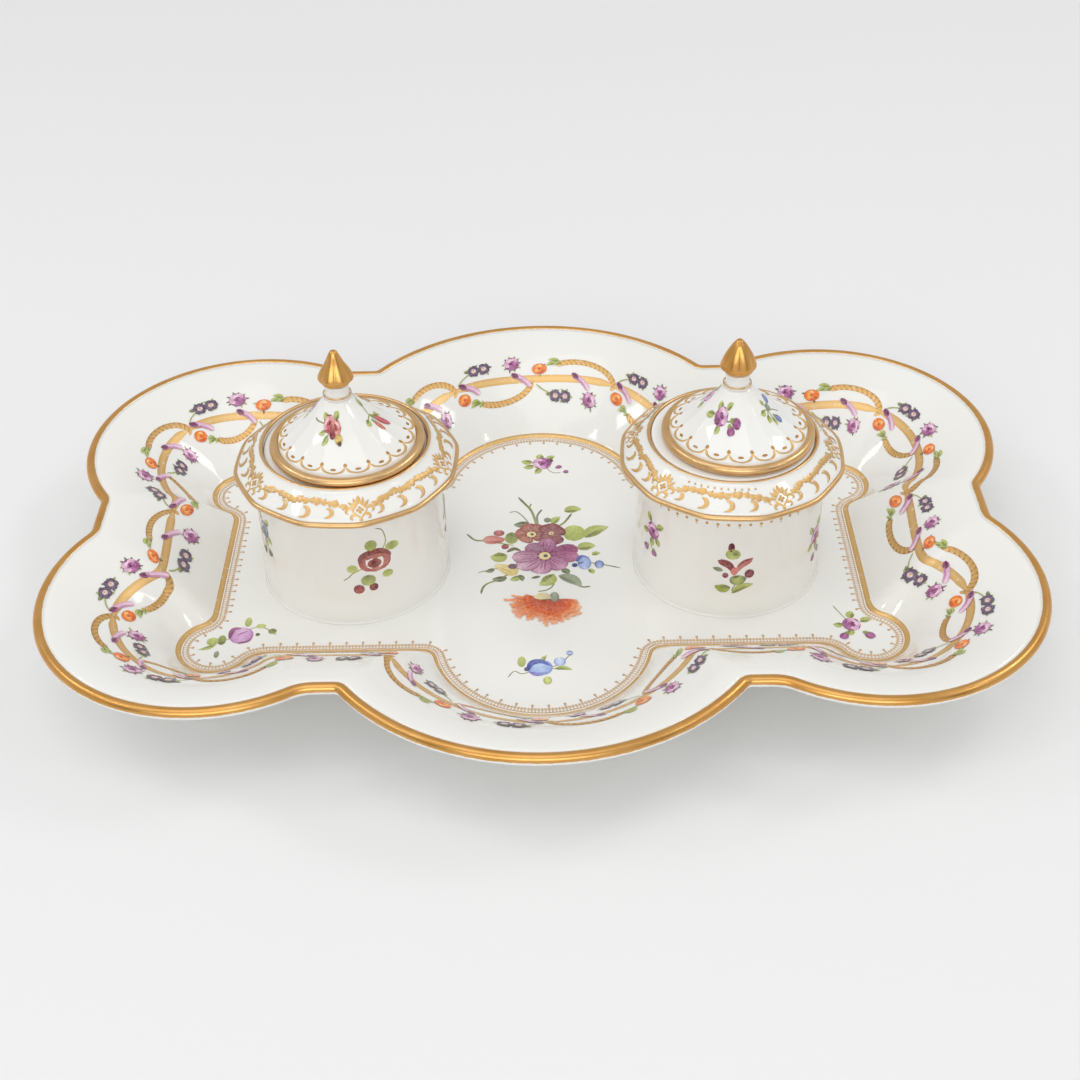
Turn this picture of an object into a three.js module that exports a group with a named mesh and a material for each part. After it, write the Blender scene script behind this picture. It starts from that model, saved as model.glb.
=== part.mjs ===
// A porcelain desk inkstand: a lobed pen tray that carries two ink wells, each with a sloping
// twelve-sided hood, a liner pot that lifts out, and a fluted lid with a gilded bud.
// Millimetres, +Z up. The origin lies on the table, under the middle of the tray.
import * as THREE from 'three';

// The two lines that shape the tray, seen from above. Each is six lobes joined by short
// straight brackets. A line is given by one quarter: the peak of the middle lobe, the bracket
// beside it, the corner lobe, and the straight end. It is mirrored for the other three.
const lipLine = {
  peak: 111.2,
  bracketStart: 56.9,
  bracketLength: 11.5,
  bracketLine: 81.8,
  endLine: 139.8,
  endHalfWidth: 9.0,
  cornerBulgeShare: 0.85,
  lobeBend: 2.0,
  cornerBend: 4.0,
  endBend: 2.2,
};
const floorLine = {
  peak: 72.6,
  bracketStart: 33.4,
  bracketLength: 56.0,
  bracketLine: 42.8,
  endLine: 102.7,
  endHalfWidth: 28.5,
  cornerBulgeShare: 1.8,
  lobeBend: 4.0,
  cornerBend: 5.5,
  endBend: 4.5,
};

// Tray heights and thicknesses
const footHeight = 2.5;
const footWidth = 4.0;
const footInset = 2.4;
const floorThickness = 4.0;
const lipHeight = 21.0; // middle of the rolled lip above the floor
const lipRadius = 1.8;
const lipSeat = 1.2; // from the middle of the roll in to the edge of the wall
const wallThickness = 3.4;
const wallFlare = 1.65; // power of the wall's curve: 1 is a straight slope

// Wells
const wellSpacing = 119.6; // between the two well axes
const wellWall = 3.2;
const wellHeight = 41.0;
const wellFootFlare = 0.9;
const wellFootRise = 1.4;
const wellPanelShare = 0.3; // how far the top of the wall is flattened into twelve panels
const panelCount = 12;
const firstPanelEdge = THREE.MathUtils.degToRad(-90 + 11.5);

// Hoods
const hoodRadius = 35.2; // to a corner of the gilded edge, the widest part of a well
const hoodOverhang = 5.7; // of the gilded edge past the wall of the well
const hoodSlope = 9.9; // seen from above, from the gilded edge in to the mouth
const hoodEdgeHeight = 1.8;
const hoodEdgeDepth = 1.2;
const hoodEdgeLift = 0.5; // bottom of the edge above the top of the well wall
const hoodRise = 8.3; // top of the mouth above the top of the well wall
const mouthBead = 1.3;
const mouthBeadHeight = 0.7;
const mouthCorner = 0.3;
const ledgeWidth = 2.7; // that the liner's flange rests on
const ledgeDrop = 3.3; // ledge that the liner hangs on, below the top of the mouth
const ledgeThickness = 2.0;

// Liner pots
const linerDepth = 38.0;
const linerWall = 2.0;
const linerFloor = 2.3;
const linerCorner = 2.5;
const flangeEdge = 0.5;
const linerClearance = 0.8; // round the pot where it passes the ledge
const flangeClearance = 0.4; // round the flange inside the mouth
const restGap = 0.3; // under a piece that rests on another and lifts off

// Lids
const lidGap = 2.0; // between the lid's edge and the mouth
const lidEdgeRadius = 1.4;
const lidEdgeSeat = 0.7; // from the middle of the rolled edge in to the lid
const lidBand = 0.3; // of the steep plain band between the rolled edge and the flutes
const lidShoulder = 3.7; // foot of the flutes above the underside of the lid
const lidThickness = 2.6;
const lidPlay = 2.0; // of the locating ring inside the liner's mouth
const locatingHeight = 3.0;
const locatingWall = 2.2;
const lidRise = 17.3; // foot of the neck above the underside of the lid
const lidFlare = 1.5; // power of the lid's concave slope: 1 is a straight cone
const fluteCount = 16;
const fluteDepth = 0.35;
const neckRadius = 4.0;
const neckFootRadius = 4.3;

// Buds, as shares of the radius and of the height from foot to tip
const budRadius = 5.45;
const budFootShare = 0.72;
const budLobes = 6;
const budGrooveShare = 0.07;

// The two wells were finished by hand and differ a little. Each lid stands beside its well's
// axis and each neck beside its lid's, by these shifts to the right and to the back.
const wells = [
  {
    name: 'left', side: -1, flangeThickness: 1.9, lidShift: [0.9, -1.2], neckShift: [-1.8, 1.2],
    neckHeight: 4.6, budHeight: 11.2,
    budProfileShares: [[0.16, 1], [0.38, 0.84], [0.62, 0.55], [0.84, 0.34], [0.95, 0.22]],
  },
  {
    name: 'right', side: 1, flangeThickness: 3.2, lidShift: [1.4, -0.9], neckShift: [-1.0, 0.9],
    neckHeight: 4.8, budHeight: 11.0,
    budProfileShares: [[0.16, 1], [0.38, 0.9], [0.62, 0.68], [0.84, 0.4], [0.95, 0.22]],
  },
];

// Facets
const middleSteps = 6;
const bendSteps = 2;
const bracketSteps = 1;
const cornerSteps = 10;
const endSteps = 1;
const rollSteps = 5;
const stepsPerPanel = 3;
const stepsPerFlute = 3;
const roundSteps = 36;
const neckSteps = 18;
const stepsPerBudLobe = 3;
const wallShares = [0.07, 0.18, 0.32, 0.48, 0.66, 0.84];
const slopeShares = [0.2, 0.4, 0.6, 0.78, 0.92];

// Finishes
const porcelain = () => new THREE.MeshStandardMaterial({ color: 0xe9ebe8, roughness: 0.12, metalness: 0 });
const unglazed = () => new THREE.MeshStandardMaterial({ color: 0xdcdad2, roughness: 0.6, metalness: 0 });
const gilding = () => new THREE.MeshStandardMaterial({ color: 0xc9963a, roughness: 0.28, metalness: 0.9 });

// A closed surface through rings of points. The rings run anticlockwise seen from above and
// are listed up the outside of the section. With capped, the first and last ring are closed
// by fans about their middles; without it, the last ring joins the first.
function ringSolid(rings, capped) {
  const count = rings[0].length;
  const points = rings.flat();
  const faces = [];
  const bands = capped ? rings.length - 1 : rings.length;
  for (let i = 0; i < bands; i += 1) {
    const low = i * count;
    const high = ((i + 1) % rings.length) * count;
    for (let j = 0; j < count; j += 1) {
      const k = (j + 1) % count;
      faces.push(low + j, low + k, high + k, low + j, high + k, high + j);
    }
  }
  if (capped) {
    const bottom = points.length;
    points.push(middleOf(rings[0]), middleOf(rings[rings.length - 1]));
    const last = (rings.length - 1) * count;
    for (let j = 0; j < count; j += 1) {
      const k = (j + 1) % count;
      faces.push(bottom, k, j, bottom + 1, last + j, last + k);
    }
  }
  const geometry = new THREE.BufferGeometry().setFromPoints(points);
  geometry.setIndex(faces);
  geometry.computeVertexNormals();
  return geometry;
}

function middleOf(ring) {
  const sum = ring.reduce((total, point) => total.add(point), new THREE.Vector3());
  return sum.divideScalar(ring.length);
}

// The curves of one quarter of a lobed line, from the peak of the middle lobe to the straight
// end. Each bend rounds the corner between two neighbours with a quadratic curve.
function quarterCurves(line) {
  const rise = line.peak - line.bracketLine;
  const middleRadius = (line.bracketStart ** 2 + rise ** 2) / (2 * rise);
  const middleCentre = new THREE.Vector2(0, line.peak - middleRadius);
  const lobeCorner = new THREE.Vector2(line.bracketStart, line.bracketLine);
  const lobeEnd = lobeCorner.clone().sub(middleCentre).angle() + line.lobeBend / middleRadius;
  const middle = arc(middleCentre, middleRadius, Math.PI / 2, lobeEnd);

  const start = new THREE.Vector2(line.bracketStart + line.bracketLength, line.bracketLine);
  const end = new THREE.Vector2(line.endLine, line.endHalfWidth);
  const chord = end.clone().sub(start);
  const half = chord.length() / 2;
  const bulge = half * line.cornerBulgeShare;
  const radius = (half ** 2 + bulge ** 2) / (2 * bulge);
  const outward = new THREE.Vector2(-chord.y, chord.x).normalize();
  const centre = start.clone().add(end).divideScalar(2).addScaledVector(outward, bulge - radius);
  const spread = Math.atan2(half, radius - bulge);
  const facing = outward.angle();
  const corner = arc(
    centre, radius, facing + spread - line.cornerBend / radius, facing - spread + line.endBend / radius,
  );

  const bracketFrom = lobeCorner.clone();
  bracketFrom.x += line.lobeBend;
  const bracketTo = start.clone();
  bracketTo.x -= line.cornerBend;
  const endFrom = end.clone();
  endFrom.y -= line.endBend;
  return [
    [middle, middleSteps],
    [new THREE.QuadraticBezierCurve(middle.getPoint(1), lobeCorner, bracketFrom), bendSteps],
    [new THREE.LineCurve(bracketFrom, bracketTo), bracketSteps],
    [new THREE.QuadraticBezierCurve(bracketTo, start, corner.getPoint(0)), bendSteps],
    [corner, cornerSteps],
    [new THREE.QuadraticBezierCurve(corner.getPoint(1), end, endFrom), bendSteps],
    [new THREE.LineCurve(endFrom, new THREE.Vector2(line.endLine, 0)), endSteps],
  ];
}

function arc(centre, radius, from, to) {
  return new THREE.EllipseCurve(centre.x, centre.y, radius, radius, from, to, true);
}

// The whole line as points, anticlockwise from the right-hand end.
function lobedLine(line) {
  const quarter = [new THREE.Vector2(0, line.peak)];
  for (const [curve, steps] of quarterCurves(line)) {
    quarter.push(...curve.getPoints(steps).slice(1));
  }
  quarter.reverse();
  const back = [...quarter, ...mirrored(quarter, -1, 1)];
  return [...back, ...mirrored(back, 1, -1)];
}

// The same points mirrored and in reverse order, without the two that lie on the mirror.
function mirrored(points, scaleX, scaleY) {
  const kept = points.slice(scaleX < 0 ? 0 : 1, -1).reverse();
  return kept.map((point) => new THREE.Vector2(point.x * scaleX, point.y * scaleY));
}

// The line moved outward along its normals; inward if the distance is negative.
function offsetLine(points, distance) {
  return points.map((point, i) => {
    const before = points[(i + points.length - 1) % points.length];
    const after = points[(i + 1) % points.length];
    const incoming = point.clone().sub(before).normalize();
    const outgoing = after.clone().sub(point).normalize();
    const along = incoming.clone().add(outgoing).normalize();
    const stretch = distance / along.dot(outgoing);
    return new THREE.Vector2(point.x + along.y * stretch, point.y - along.x * stretch);
  });
}

const atHeight = (points, height) => points.map((point) => new THREE.Vector3(point.x, point.y, height));

function between(from, to, share, height) {
  return from.map((point, i) => {
    const mixed = point.clone().lerp(to[i], share);
    return new THREE.Vector3(mixed.x, mixed.y, height);
  });
}

// Sizes worked out from the ones above
const floorTop = footHeight + floorThickness;
const lipMiddle = floorTop + lipHeight;
const seatHalfHeight = Math.sqrt(lipRadius ** 2 - lipSeat ** 2);
const seatTop = lipHeight + seatHalfHeight; // top of the wall's edge above the floor
const wallReach = lipLine.bracketLine - floorLine.bracketLine - lipSeat;
const edgeBottom = wellHeight + hoodEdgeLift;
const edgeTop = edgeBottom + hoodEdgeHeight;
const hoodSeatRadius = hoodRadius - hoodEdgeDepth;
const wellRadius = hoodRadius - hoodOverhang;
const mouthRadius = hoodRadius - hoodSlope;
const ledgeRadius = mouthRadius - ledgeWidth;
const mouthTop = wellHeight + hoodRise;
const ledgeTop = mouthTop - ledgeDrop;
const wellBore = wellRadius - wellWall;
const linerRadius = ledgeRadius - linerClearance;
const linerBore = linerRadius - linerWall;
const flangeRadius = mouthRadius - flangeClearance;
const flangeUnder = ledgeTop + restGap;
const lidEdgeMiddle = mouthRadius - lidGap - lidEdgeRadius;
const lidSeatRadius = lidEdgeMiddle - lidEdgeSeat;
const lidSeatHalfHeight = Math.sqrt(lidEdgeRadius ** 2 - lidEdgeSeat ** 2);
const fluteRadius = lidSeatRadius - lidBand;
const locatingRadius = linerBore - lidPlay;
const locatingBore = locatingRadius - locatingWall;

const floorPoints = lobedLine(floorLine);
const lipPoints = lobedLine(lipLine);
const seatPoints = offsetLine(lipPoints, -lipSeat);

// Height of the dish's wall above the floor, at a share of the way from the floor to the lip.
const wallHeight = (share) => seatTop * (1 - (1 - share) ** wallFlare);

// The dish: a flat floor, and a wall that leaves it steeply and flares out to the lip. Its
// underside follows the wall at an even thickness.
function trayGeometry() {
  const under = wallShares.map((share) => {
    const slope = (seatTop * wallFlare * (1 - share) ** (wallFlare - 1)) / wallReach;
    const tilt = Math.atan(slope);
    const outward = (wallThickness * Math.sin(tilt)) / wallReach;
    const height = floorTop + wallHeight(share) - wallThickness * Math.cos(tilt);
    return between(floorPoints, seatPoints, share + outward, height);
  });
  const over = wallShares.map((share) => {
    return between(floorPoints, seatPoints, share, floorTop + wallHeight(share));
  });
  return ringSolid([
    atHeight(floorPoints, footHeight),
    ...under,
    atHeight(seatPoints, lipMiddle - seatHalfHeight),
    atHeight(seatPoints, floorTop + seatTop),
    ...over.reverse(),
    atHeight(floorPoints, floorTop),
  ], true);
}

// The gilded roll round the lip: most of a circle, flat where it meets the wall.
function lipRollGeometry() {
  const seatAngle = Math.PI - Math.asin(seatHalfHeight / lipRadius);
  const rings = [];
  for (let i = 0; i <= rollSteps; i += 1) {
    const angle = THREE.MathUtils.lerp(-seatAngle, seatAngle, i / rollSteps);
    const out = i % rollSteps === 0 ? -lipSeat : lipRadius * Math.cos(angle);
    rings.push(atHeight(offsetLine(lipPoints, out), lipMiddle + lipRadius * Math.sin(angle)));
  }
  return ringSolid(rings, false);
}

// The foot ring follows the edge of the floor, under the dish.
function footRingGeometry() {
  const outer = offsetLine(floorPoints, -footInset);
  const inner = offsetLine(floorPoints, -footInset - footWidth);
  return ringSolid([
    atHeight(inner, 0), atHeight(outer, 0), atHeight(outer, footHeight), atHeight(inner, footHeight),
  ], false);
}

// A ring about a well's axis whose outline lies between a circle, at share 0, and a polygon
// with the panels' corners at the given radius, at share 1.
function panelRing(cornerRadius, share, height) {
  const half = Math.PI / panelCount;
  const steps = panelCount * stepsPerPanel;
  const ring = [];
  for (let j = 0; j < steps; j += 1) {
    const turn = (j / stepsPerPanel) * 2 * half;
    const fromMiddle = (turn % (2 * half)) - half;
    const flat = (cornerRadius * Math.cos(half)) / Math.cos(fromMiddle);
    const radius = THREE.MathUtils.lerp(cornerRadius, flat, share);
    const angle = firstPanelEdge + turn;
    ring.push(new THREE.Vector3(radius * Math.cos(angle), radius * Math.sin(angle), height));
  }
  return ring;
}

// The wall of a well: round at the foot, where it is luted to the floor, and faintly panelled
// under the hood.
function wellBodyGeometry() {
  return ringSolid([
    panelRing(wellBore, 0, 0),
    panelRing(wellRadius + wellFootFlare, 0, 0),
    panelRing(wellRadius, 0, wellFootRise),
    panelRing(wellRadius, wellPanelShare, wellHeight),
    panelRing(wellBore, 0, wellHeight),
  ], false);
}

// The hood: twelve sloping panels from the gilded edge up to the round mouth, with a ledge
// inside that the liner hangs on.
function hoodGeometry() {
  const beadOut = mouthRadius + mouthBead;
  const beadFoot = mouthTop - mouthBeadHeight;
  const halfway = (hoodSeatRadius + beadOut) / 2;
  return ringSolid([
    panelRing(wellBore, 0, wellHeight),
    panelRing(wellRadius, wellPanelShare, wellHeight),
    panelRing(hoodSeatRadius, 1, edgeBottom),
    panelRing(hoodSeatRadius, 1, edgeTop),
    panelRing(halfway, 0.5, (edgeTop + beadFoot) / 2),
    panelRing(beadOut, 0, beadFoot),
    panelRing(beadOut - mouthCorner, 0, mouthTop),
    panelRing(mouthRadius + mouthCorner, 0, mouthTop),
    panelRing(mouthRadius, 0, mouthTop - mouthCorner),
    panelRing(mouthRadius, 0, ledgeTop),
    panelRing(ledgeRadius, 0, ledgeTop),
    panelRing(ledgeRadius, 0, ledgeTop - ledgeThickness),
  ], false);
}

// The gilded bead along the hood's twelve-sided edge.
function hoodEdgeGeometry() {
  const corner = hoodEdgeHeight / 4;
  return ringSolid([
    panelRing(hoodSeatRadius, 1, edgeBottom),
    panelRing(hoodRadius - corner, 1, edgeBottom),
    panelRing(hoodRadius, 1, edgeBottom + hoodEdgeHeight / 2),
    panelRing(hoodRadius - corner, 1, edgeTop),
    panelRing(hoodSeatRadius, 1, edgeTop),
  ], false);
}

// A turned piece about the vertical axis, from a profile of [radius, height] pairs that goes
// up the outside.
function turned(profile, steps) {
  const points = profile.map(([radius, height]) => new THREE.Vector2(radius, height));
  return new THREE.LatheGeometry(points, steps).rotateX(Math.PI / 2);
}

// The liner pot hangs by its flange. The pot is open at the top.
function linerGeometry(flangeThickness) {
  const bottom = flangeUnder - linerDepth;
  const flangeTop = flangeUnder + flangeThickness;
  return turned([
    [0, bottom],
    [linerRadius - linerCorner, bottom],
    [linerRadius, bottom + linerCorner],
    [linerRadius, flangeUnder],
    [flangeRadius, flangeUnder],
    [flangeRadius, flangeTop - flangeEdge],
    [flangeRadius - flangeEdge, flangeTop],
    [linerBore, flangeTop],
    [linerBore, bottom + linerFloor + linerCorner],
    [linerBore - linerCorner, bottom + linerFloor],
    [0, bottom + linerFloor],
  ], roundSteps);
}

// A ring about a lid's axis, or beside it by the given shift, with the flutes sunk below it by
// the given depth.
function lidRing(radius, height, depth = 0, [right, back] = [0, 0]) {
  const ring = [];
  const steps = fluteCount * stepsPerFlute;
  for (let j = 0; j < steps; j += 1) {
    const angle = (j / steps) * 2 * Math.PI;
    const across = (j % stepsPerFlute) / stepsPerFlute;
    const sunk = depth * 4 * across * (1 - across);
    const x = right + radius * Math.cos(angle);
    const y = back + radius * Math.sin(angle);
    ring.push(new THREE.Vector3(x, y, height - sunk));
  }
  return ring;
}

// The lid, from the underside of its edge at height 0. The fluted slope sweeps up to the neck,
// which stands a little beside the axis, and the underside is hollow inside the locating ring.
function lidGeometry(neckShift) {
  const bandTop = lidEdgeRadius + lidSeatHalfHeight;
  const climb = lidRise - lidShoulder;
  const reach = fluteRadius - neckFootRadius;
  const slope = slopeShares.map((share) => {
    const height = lidShoulder + climb * share ** lidFlare;
    const radius = fluteRadius - reach * share;
    const depth = fluteDepth * Math.sin(Math.PI * Math.sqrt(share));
    return lidRing(radius, height, depth, neckShift.map((part) => part * share));
  });
  const hollowTop = lidRise - 2 * lidThickness;
  return ringSolid([
    lidRing(neckRadius, hollowTop),
    lidRing(locatingBore, lidThickness),
    lidRing(locatingBore, 0),
    lidRing(lidSeatRadius, 0),
    lidRing(lidSeatRadius, lidEdgeRadius - lidSeatHalfHeight),
    lidRing(lidSeatRadius, bandTop),
    lidRing(fluteRadius, lidShoulder),
    ...slope,
    lidRing(neckFootRadius, lidRise, 0, neckShift),
  ], true);
}

// The gilded roll round the lid's edge, flat where it meets the lid.
function lidEdgeGeometry() {
  const seatAngle = Math.PI - Math.asin(lidSeatHalfHeight / lidEdgeRadius);
  const rings = [];
  for (let i = 0; i <= rollSteps; i += 1) {
    const angle = THREE.MathUtils.lerp(-seatAngle, seatAngle, i / rollSteps);
    const out = i % rollSteps === 0 ? -lidEdgeSeat : lidEdgeRadius * Math.cos(angle);
    rings.push(lidRing(lidEdgeMiddle + out, lidEdgeRadius * (1 + Math.sin(angle))));
  }
  return ringSolid(rings, false);
}

// The ring under the lid that keeps it in the liner's mouth.
function locatingRingGeometry() {
  return turned([
    [locatingBore, -locatingHeight],
    [locatingRadius, -locatingHeight],
    [locatingRadius, 0],
    [locatingBore, 0],
    [locatingBore, -locatingHeight],
  ], roundSteps);
}

// The short waisted neck under the bud.
function neckGeometry(height) {
  return turned([
    [0, 0],
    [neckFootRadius, 0],
    [neckRadius, height / 3],
    [neckRadius, height],
    [0, height],
  ], neckSteps);
}

// The bud, grooved into segments that run together at the tip.
function budGeometry(well) {
  const steps = budLobes * stepsPerBudLobe;
  const outline = [[0, budFootShare], ...well.budProfileShares];
  const rings = outline.map(([up, width]) => {
    const ring = [];
    for (let j = 0; j < steps; j += 1) {
      const angle = (j / steps) * 2 * Math.PI;
      const groove = j % stepsPerBudLobe === 0 ? budGrooveShare : 0;
      const radius = budRadius * width * (1 - groove);
      ring.push(new THREE.Vector3(radius * Math.cos(angle), radius * Math.sin(angle), up * well.budHeight));
    }
    return ring;
  });
  rings.push(rings[rings.length - 1].map((point) => {
    return new THREE.Vector3(point.x / 2, point.y / 2, well.budHeight);
  }));
  return ringSolid(rings, true);
}

function named(name, geometry, material, shift = [0, 0], height = 0) {
  const mesh = new THREE.Mesh(geometry, material);
  mesh.name = name;
  mesh.position.set(...shift, height);
  return mesh;
}

const inkstand = new THREE.Group();
inkstand.name = 'desk_inkstand';
inkstand.add(
  named('tray_dish', trayGeometry(), porcelain()),
  named('tray_gilt_lip', lipRollGeometry(), gilding()),
  named('tray_foot_ring', footRingGeometry(), unglazed()),
);

for (const well of wells) {
  const group = new THREE.Group();
  group.position.set((well.side * wellSpacing) / 2, 0, floorTop);
  group.add(
    named(`${well.name}_well_body`, wellBodyGeometry(), porcelain()),
    named(`${well.name}_hood`, hoodGeometry(), porcelain()),
    named(`${well.name}_hood_gilt_edge`, hoodEdgeGeometry(), gilding()),
    named(`${well.name}_liner_pot`, linerGeometry(well.flangeThickness), porcelain()),
  );

  const lid = new THREE.Group();
  lid.position.set(...well.lidShift, flangeUnder + well.flangeThickness + restGap);
  lid.add(
    named(`${well.name}_lid`, lidGeometry(well.neckShift), porcelain()),
    named(`${well.name}_lid_gilt_edge`, lidEdgeGeometry(), gilding()),
    named(`${well.name}_lid_locating_ring`, locatingRingGeometry(), porcelain()),
    named(`${well.name}_lid_neck`, neckGeometry(well.neckHeight), porcelain(), well.neckShift, lidRise),
    named(`${well.name}_lid_bud`, budGeometry(well), gilding(), well.neckShift, lidRise + well.neckHeight),
  );
  group.add(lid);
  inkstand.add(group);
}

export default inkstand;
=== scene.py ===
import math

import bpy
import numpy as np
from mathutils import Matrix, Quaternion, Vector
from mathutils.geometry import delaunay_2d_cdt


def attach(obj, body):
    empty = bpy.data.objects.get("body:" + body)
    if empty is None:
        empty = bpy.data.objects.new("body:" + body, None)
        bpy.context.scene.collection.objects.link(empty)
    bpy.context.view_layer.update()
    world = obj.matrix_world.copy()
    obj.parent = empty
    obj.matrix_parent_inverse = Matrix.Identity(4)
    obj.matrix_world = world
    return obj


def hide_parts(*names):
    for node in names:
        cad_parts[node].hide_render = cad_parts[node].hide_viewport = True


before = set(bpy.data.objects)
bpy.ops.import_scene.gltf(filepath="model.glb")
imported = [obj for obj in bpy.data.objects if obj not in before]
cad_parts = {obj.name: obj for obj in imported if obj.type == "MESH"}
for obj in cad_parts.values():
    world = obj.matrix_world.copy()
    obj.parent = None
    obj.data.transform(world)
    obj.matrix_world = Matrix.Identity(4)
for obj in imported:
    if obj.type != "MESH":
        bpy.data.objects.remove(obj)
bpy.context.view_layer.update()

# The camera stands in front of the inkstand and looks down on it. Its angles, distance and
# focal length were fitted to the tray's lip and floor lines and to the round wells.
mm = 0.001
camera_turn = 0.29
camera_height = 37.69
camera_lean = math.radians(-1.185)
camera_distance = 568.2 * mm
camera_target = Vector((-0.37, 11.74, 6.5)) * mm


def direction(azimuth, height):
    """The way out from the inkstand. Azimuth 0 is in front and 90 to the right, in degrees."""
    turn, rise = math.radians(azimuth), math.radians(height)
    return Vector((
        math.sin(turn) * math.cos(rise), -math.cos(turn) * math.cos(rise), math.sin(rise),
    ))


def add_object(name, data):
    """Puts a camera, a lamp or a mesh into the scene."""
    made = bpy.data.objects.new(name, data)
    bpy.context.scene.collection.objects.link(made)
    return made


camera = add_object("camera", bpy.data.cameras.new("camera"))
camera.data.sensor_width = 36.0
camera.data.lens = 57.14
camera.data.clip_start = 0.01
towards_camera = direction(camera_turn, camera_height)
camera.rotation_mode = "QUATERNION"
camera.rotation_quaternion = (
    (-towards_camera).to_track_quat("-Z", "Y") @ Quaternion((0, 0, 1), camera_lean)
)
camera.location = camera_target + towards_camera * camera_distance
bpy.context.scene.camera = camera
bpy.context.scene.view_settings.view_transform = "Standard"


# The table is a sheet of pale grey studio paper that runs off past the picture on all sides.
# Its grain is too fine to see; only a slow change of tone shows.
def linear(code):
    """A colour written as sRGB hex, as linear red, green and blue."""
    shares = np.array([int(code[i:i + 2], 16) for i in (1, 3, 5)]) / 255
    return np.where(shares <= 0.04045, shares / 12.92, ((shares + 0.055) / 1.055) ** 2.4)


def solid(code):
    """The same colour with full opacity, as a colour socket takes it."""
    return (*linear(code), 1.0)


def waves(length):
    """The texture scale, in waves for each metre, of a pattern with this length in mm."""
    return 1000.0 / length


def add_node(tree, kind, feeds=(), gives=None, **settings):
    """Adds a node and hands back one of its outputs, the first if none is named. Each feed is
    an input's identifier and its value or the output that feeds it."""
    made = tree.nodes.new(kind)
    for name, value in settings.items():
        setattr(made, name, value)
    sockets = {socket.identifier: socket for socket in made.inputs}
    for name, value in dict(feeds).items():
        if isinstance(value, bpy.types.NodeSocket):
            tree.links.new(value, sockets[name])
        else:
            sockets[name].default_value = value
    outputs = {socket.identifier: socket for socket in made.outputs}
    return outputs.get(gives or next(iter(outputs), None))


def new_tree(name):
    """An empty material, its node tree and its place texture coordinate."""
    material = bpy.data.materials.new(name)
    material.use_nodes = True
    tree = material.node_tree
    tree.nodes.clear()
    return material, tree, add_node(tree, "ShaderNodeTexCoord", gives="Object")


def add_surface(tree, **feeds):
    """Ends a material with its own shader. Spaces in the names of inputs are underscores."""
    named = {name.replace("_", " "): value for name, value in feeds.items()}
    shader = add_node(tree, "ShaderNodeBsdfPrincipled", named)
    add_node(tree, "ShaderNodeOutputMaterial", {"Surface": shader})


def noise(tree, place, length, detail=2.0):
    """A soft noise with a pattern of this length in mm."""
    return add_node(tree, "ShaderNodeTexNoise", {
        "Vector": place, "Scale": waves(length), "Detail": detail,
    })


def blend(tree, share, first, second):
    """A colour between two others, each an sRGB hex code or an output."""
    first, second = (solid(end) if isinstance(end, str) else end for end in (first, second))
    return add_node(tree, "ShaderNodeMix", {
        "Factor_Float": share, "A_Color": first, "B_Color": second,
    }, "Result_Color", data_type="RGBA")


def studio_paper():
    material, tree, place = new_tree("matt_studio_paper")
    colour = blend(tree, noise(tree, place, 400.0), "#EDEDED", "#F0F0F0")
    add_surface(tree, Base_Color=colour, Roughness=0.85, Specular_IOR_Level=0.2)
    return material


def studio_sheet(name, corners, material):
    """A flat sheet that stands or lies in the studio and is no part of the inkstand."""
    mesh = bpy.data.meshes.new(name)
    mesh.from_pydata(corners, [], [(0, 1, 2, 3)])
    mesh.materials.append(material)
    add_object(name, mesh)


table_half = 4.0
table_corners = [(-table_half, -table_half, 0), (table_half, -table_half, 0),
                 (table_half, table_half, 0), (-table_half, table_half, 0)]
studio_sheet("table", table_corners, studio_paper())


# The light is that of a small studio: white walls all round, a wide soft light overhead, a
# soft box in front and on each side, and two small windows of two panes.
def softbox(name, azimuth, height, distance, width, length, radiance):
    """A lamp that faces the inkstand."""
    lamp = bpy.data.lights.new(name, "AREA")
    lamp.shape = "RECTANGLE"
    lamp.size = width
    lamp.size_y = length
    lamp.energy = radiance * math.pi * width * length
    out = direction(azimuth, height)
    box = add_object(name, lamp)
    box.location = out * distance
    box.rotation_mode = "QUATERNION"
    box.rotation_quaternion = out.to_track_quat("Z", "Y")


softbox("overhead_softbox", -40.0, 78.0, 1.5, 1.2, 1.0, 0.9)
softbox("front_softbox", -6.0, 30.0, 1.7, 1.4, 0.6, 2.5)
softbox("right_softbox", 116.0, 46.0, 1.5, 0.5, 0.22, 5.5)
softbox("left_softbox", -107.0, 45.0, 1.5, 0.4, 0.18, 5.5)
for azimuth in (-75.0, -70.0, 68.0, 73.0):
    softbox("window_pane", azimuth, 46.0, 1.5, 0.06, 0.16, 11.0)

felt_distance = 1.1
felt_half_width = 0.1
felt_height = 0.6


def felt_screen(azimuth):
    """A black felt screen that stands on the table. Gold needs something dark to mirror."""
    material, tree, place = new_tree("black_wool_felt")
    colour = blend(tree, noise(tree, place, 2.0, 3.0), "#2A2A2B", "#3A3938")
    add_surface(tree, Base_Color=colour, Roughness=0.95, Sheen_Weight=0.3)
    out = direction(azimuth, 0.0)
    half = out.cross(Vector((0, 0, 1))) * felt_half_width
    low = out * felt_distance
    high = low + Vector((0, 0, felt_height))
    studio_sheet("felt_screen", [low - half, low + half, high + half, high - half], material)


felt_screen(-47.0)
felt_screen(47.0)

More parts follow.
